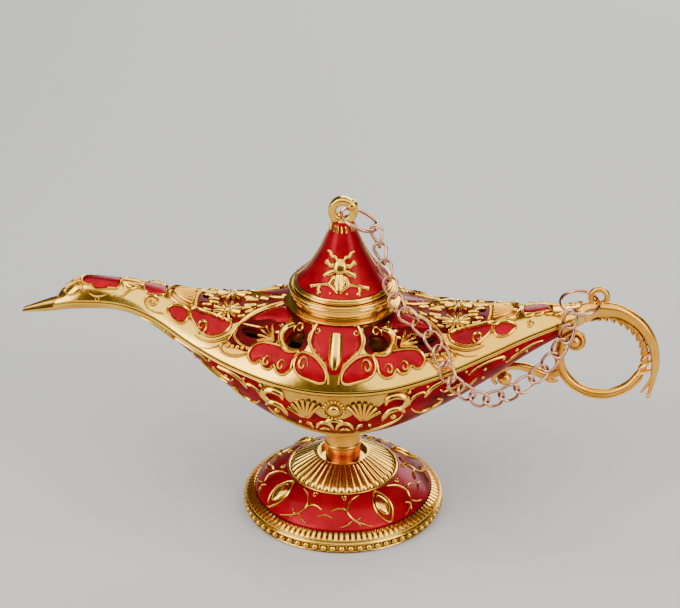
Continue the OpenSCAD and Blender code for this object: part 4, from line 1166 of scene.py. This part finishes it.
def cast_bars(*bars):
    """A piece of bars in the XZ plane. A bar is its rows of (x, z, half thickness, half breadth
    along Y), its outline, and how far its plane lies along Y if it isn't the middle one."""
    points, faces = [], []
    for rows, outline, *shift in bars:
        path = smooth_path(rows, step=0.4)
        faces += tube_faces(len(path), len(outline), len(points))
        for k, (x, z, thick, broad) in enumerate(path):
            before, after = neighbours(path, k)
            ahead = Vector((after[0] - before[0], after[1] - before[1])).normalized()
            points += [(x - ahead.y * left * thick, sum(shift) + along_y * broad, z + ahead.x * left * thick)
                       for left, along_y in outline]
    return mesh_piece(points, faces)


def ball_rows(x, z, radius, squash=1.0):
    """Rows of a ball for cast_bars."""
    spans = [(math.sin(math.radians(a)), math.cos(math.radians(a))) for a in range(-90, 91, 15)]
    return [(x + radius * s, z, max(radius * c, 0.02), max(radius * squash * c, 0.02)) for s, c in spans]


def moved_rows(x, z, rows):
    """Rows of a bar, counted from a place. A row with one thickness is as broad as it is thick."""
    return [(x + row[0], z + row[1], row[2], row[-1]) for row in rows]


def squared(value):
    """A cosine or sine of a circle pushed out towards a square."""
    return math.copysign(abs(value) ** 0.6, value)


strap_r, strap_steps = 2.04, 26
strap_x, strap_z = 0.0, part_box("lid_eye")[1][2] / MM - 2.9
strap_outline = []
for k in range(24):
    a = FULL_TURN * (k + 0.5) / 24
    strap_outline.append((0.86 * squared(math.cos(a)), squared(math.sin(a))))
strap_rows = []
for k in range(strap_steps + 1):
    a = math.radians(246 - 12.9 * k)
    share = k / strap_steps
    strap_rows.append((strap_r * math.cos(a), strap_r * math.sin(a), 0.98 - 0.1 * share, 1.15 - 0.15 * share))
root_rows = moved_rows(0, cone_tip, [(-0.15, -1.1, 1.75, 1.7), (-0.3, -0.5, 1.62, 1.55),
                                     (-0.55, 0, 1.25, 1.2), (-0.7, 0.45, 0.85, 0.9)])
strap = cast_bars((moved_rows(strap_x, strap_z, strap_rows), strap_outline), (root_rows, round_bar),
                  (ball_rows(strap_x + 1.7, strap_z + 1.2, 1.14, 1.1), round_bar))
settle(strap, "lid_strap", pale_gold, "lid", "plated_gold", "lid_eye", smooth=50)


# ------------------------------------------------------------------------------------------
# The handle: cast bars of deeper gold. The top bar runs out of the body's end, over the loop
# and down to a split tip; under it lie a row of slanting leaves, the round loop with its curl,
# and the volute that ties the loop to the bowl. The top bar and the volute have a groove along
# their faces.
# ------------------------------------------------------------------------------------------
tail_z = body_at(tail_reach)[1]
loop_x, loop_z, loop_r = tail_reach + 3.6, tail_z - 9.4, 8.0

top_rows = moved_rows(tail_reach, tail_z, [
    (-0.5, 0.1, 1.8, 1.95), (0.05, 0.25, 1.95, 2.1), (1.0, 0.7, 1.8, 1.8), (2.2, 1.05, 1.6, 1.55),
    (4, 1.15, 1.48, 1.45), (7, 0.7, 1.3, 1.28), (10.6, -1.7, 1.14, 1.12), (13, -5.4, 1.02, 1.0),
    (13.9, -9.6, 0.85, 0.85), (13.72, -12.8, 0.66, 0.7), (13.3, -15.6, 0.42, 0.5), (12.95, -17.3, 0.3, 0.34)])
prong_rows = moved_rows(tail_reach, tail_z, [
    (13.75, -12.4, 0.4, 0.45), (12.9, -14.4, 0.34, 0.36), (12.0, -15.9, 0.26, 0.28), (11.5, -16.7, 0.2, 0.2)])
top_bar = cast_bars((top_rows, grooved_bar), (prong_rows, round_bar),
                    (ball_rows(tail_reach + 12.93, tail_z - 17.25, 0.5), round_bar))
settle(top_bar, "handle_bar", amber_gold, "lamp", "plated_gold", "handle_top_bar", smooth=60)


def on_loop(radius, turn):
    """A place in the loop's plane, by distance from its middle and angle in degrees."""
    a = math.radians(turn)
    return loop_x + radius * math.cos(a), loop_z + radius * math.sin(a)


# Where the top bar's underside lies, by distance and angle from the loop's middle
under_bar = [(math.hypot(x - loop_x, z - loop_z) - thick, math.degrees(math.atan2(z - loop_z, x - loop_x)))
             for x, z, thick, broad in smooth_path(top_rows, step=0.4)]
leaf_count = 13
leaf_bars = []
leaf_outline = [(across, along * (1 - 0.35 * max(0, across))) for across, along in bar_ring(sides=14)]
for k in range(leaf_count):
    share = k / (leaf_count - 1)
    turn = 104 - 124 * share ** 1.15
    size = 0.62 + 0.38 * share
    outer = min([r for r, angle in under_bar if abs(angle - turn - 6) < 4] + [9.9]) + 0.15
    inner = 8.35 - 1.1 * share
    rows = []
    for part, thick in ((0, 0.12), (0.18, 0.5), (0.45, 0.85), (0.72, 0.8), (0.92, 0.5), (1, 0.2)):
        x, z = on_loop(outer + (inner - outer) * part ** 0.8, turn + 8 * size - 15 * size * part)
        rows.append((x, z, 0.62 * size * thick, 0.95 * size * thick ** 0.5))
    leaf_bars.append((rows, leaf_outline))
    vein = [(x + 0.05, z, 0.13, 0.1) for x, z, a, b in rows[1:-1]]
    leaf_bars += [(vein, bar_ring(sides=6), face * 0.82 * size) for face in (-1, 1)]
# the rib that the leaves stand on
leaf_rib = [(*on_loop(9.2 - 1.0 * k / 12, 106 - 124 * k / 12), 0.4 + 0.25 * k / 12, 0.5) for k in range(13)]
leaf_row = cast_bars(*leaf_bars, (leaf_rib, round_bar))
settle(leaf_row, "handle_leaf_row", amber_gold, "lamp", "plated_gold", "handle_leaves", smooth=50)

# The loop's bar has a bright round back and a thin rim outside it
rim_side = [(-1.0, 0.0), (-0.92, 0.4), (-0.7, 0.72), (-0.4, 0.94), (-0.1, 0.98), (0.18, 0.86), (0.36, 0.6),
            (0.46, 0.48), (0.56, 0.52), (0.7, 0.66), (0.86, 0.6), (0.96, 0.34), (1.0, 0.0)]
rimmed_bar = rim_side + [(across, -along) for across, along in reversed(rim_side[1:-1])]
loop_rows = [(*on_loop(loop_r + 0.1, turn), thick, thick) for turn, thick in ((-12, 0.5), (-20, 0.8))]
loop_rows += [(*on_loop(loop_r, turn), 0.98, 0.98) for turn in range(-30, -193, -9)]
loop_bar = cast_bars((loop_rows, rimmed_bar))
settle(loop_bar, "handle_ring_bar", amber_gold, "lamp", "plated_gold", "handle_loop", smooth=60)
curl_rows = moved_rows(loop_x, loop_z, [
    (-7.84, 1.72, 0.94), (-7.55, 3.4, 0.86), (-6.8, 4.75, 0.76), (-5.5, 5.35, 0.66), (-4.15, 4.8, 0.58),
    (-3.5, 3.5, 0.52), (-3.95, 2.2, 0.48), (-5.1, 1.6, 0.42), (-6.3, 2.1, 0.36)])
curl_bar = cast_bars((loop_rows[-1:] + curl_rows, rimmed_bar),
                     (ball_rows(loop_x - 5.25, loop_z + 3.3, 1.28), round_bar))
settle(curl_bar, "handle_curl_bar", amber_gold, "lamp", "plated_gold", "handle_curl", smooth=60)

volute_rows = moved_rows(loop_x, loop_z, [(x, z, thick * 0.95) for x, z, thick in (
    (-7.9, -3.5, 0.75), (-8.6, -4.1, 0.8), (-9.6, -4.5, 0.84), (-10.8, -4.4, 0.9), (-12.0, -3.95, 0.97),
    (-14.1, -3.1, 0.92), (-16.1, -2.8, 0.82), (-17.7, -3.15, 0.72), (-19.4, -4.2, 0.62), (-20.4, -5.5, 0.52),
    (-20.5, -6.3, 0.45), (-19.8, -7.1, 0.38))])
spur_rows = moved_rows(loop_x, loop_z, [
    (-8.0, -5.6, 0.2, 0.2), (-9.2, -5.7, 0.42, 0.5), (-10.4, -5.2, 0.5, 0.6), (-11.6, -4.4, 0.4, 0.5)])
volute = cast_bars((volute_rows, grooved_bar), (spur_rows, round_bar),
                   (ball_rows(loop_x - 18.3, loop_z - 5.6, 1.45), round_bar))
settle(volute, "handle_volute_bar", amber_gold, "lamp", "plated_gold", "handle_volute", smooth=60)

# The upright eye, whose bar thickens at both roots
ear_r = 1.56
ear_rows = []
for turn in range(-60, 241, 12):
    thickness = (0.75, 0.8) if turn in (-60, 240) else (0.55, 0.62)
    a = math.radians(turn)
    ear_rows.append((ear_r * math.cos(a), ear_r * math.sin(a), *thickness))
handle_ear = cast_bars((moved_rows(tail_reach + 2.6, tail_z + 3.7, ear_rows), bar_ring(sides=24)))
settle(handle_ear, "handle_ear", amber_gold, "lamp", "plated_gold", "handle_eye", smooth=60)


# ------------------------------------------------------------------------------------------
# The chain: two jump rings cut from rose gold wire, and between them links of the same wire,
# each a flat oval that is twisted by most of a quarter turn so that the chain lies smooth.
# ------------------------------------------------------------------------------------------
# the chain's wire has painted shade where it passes through the links
rose_gold = gold_plate("rose_gold", (0.80, 0.45, 0.29), (0.56, 0.27, 0.15), 0.15, 0.7, 0.5 * MM)


def node_frame(name):
    """The middle of a CAD node in millimetres, and its long, broad and thin directions."""
    spots = vertex_table(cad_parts[name])
    middle = spots.mean(0)
    axes = np.linalg.eigh(np.cov((spots - middle).T))[1]
    long_way, broad_way = axes[:, 2], axes[:, 1]
    return middle, long_way, broad_way, np.cross(long_way, broad_way)


def wire(path, radius, closed=True, sides=12):
    """A round wire along points in millimetres."""
    path = [Vector(p) for p in path]
    count = len(path)
    ahead = []
    for k in range(count):
        before, after = neighbours(path, k, closed)
        ahead.append((after - before).normalized())
    side = ahead[0].orthogonal().normalized()
    sides_at = []
    for way in ahead:
        side = (side - way * side.dot(way)).normalized()
        sides_at.append(side.copy())
    over = 0
    if closed:
        # the turn that is left over is shared out along the ring
        last = (side - ahead[0] * side.dot(ahead[0])).normalized()
        over = math.atan2(last.cross(sides_at[0]).dot(ahead[0]), last.dot(sides_at[0]))
    points = []
    for k, (here, way, side) in enumerate(zip(path, ahead, sides_at)):
        for j in range(sides):
            a = FULL_TURN * j / sides + over * k / count
            points.append(here + side * (radius * math.cos(a)) + way.cross(side) * (radius * math.sin(a)))
    return mesh_piece(points, tube_faces(count, sides, closed=closed))


ring_r, ring_wire, ring_slit = 3.65, 0.35, 0.02
for node, body, hand in (("handle_jump_ring", "handle_ring", 1), ("lid_jump_ring", "lid_chain_ring", -1)):
    middle, first, second, normal = node_frame(node)
    slit = math.atan2(second[2], first[2]) + hand * 2.0
    path = []
    for k in range(97):
        a = slit + ring_slit + (FULL_TURN - 2 * ring_slit) * k / 96
        path.append(middle + ring_r * (first * math.cos(a) + second * math.sin(a)))
    settle(wire(path, ring_wire, closed=False, sides=16), node + "_wire", rose_gold, body, "rose_chain", node,
           smooth=60)

link_count, link_wire, link_length, link_twist = 21, 0.3, 4.75, math.radians(80)
link_bend, link_half = 1.35, 0.725      # radius of a link's ends, and half the straight between them
flat_link = []
for end_side in (1, -1):
    for turn in range(-90, 91, 15):
        a = math.radians(turn)
        x = link_half + link_bend * math.cos(a)
        flat_link.append((end_side * x, end_side * link_bend * math.sin(a)))
    flat_link.append((0, end_side * link_bend))
for k in range(1, link_count + 1):
    number = f"{k:02d}"
    middle, long_way, broad_way, thin_way = node_frame("chain_link_" + number)
    path = []
    for x, y in flat_link:
        a = link_twist * x / link_length
        path.append(middle + long_way * x + broad_way * (y * math.cos(a)) + thin_way * (y * math.sin(a)))
    settle(wire(path, link_wire), "chain_wire_" + number, rose_gold, "link_" + number, "rose_chain",
           "chain_link_" + number, smooth=60)
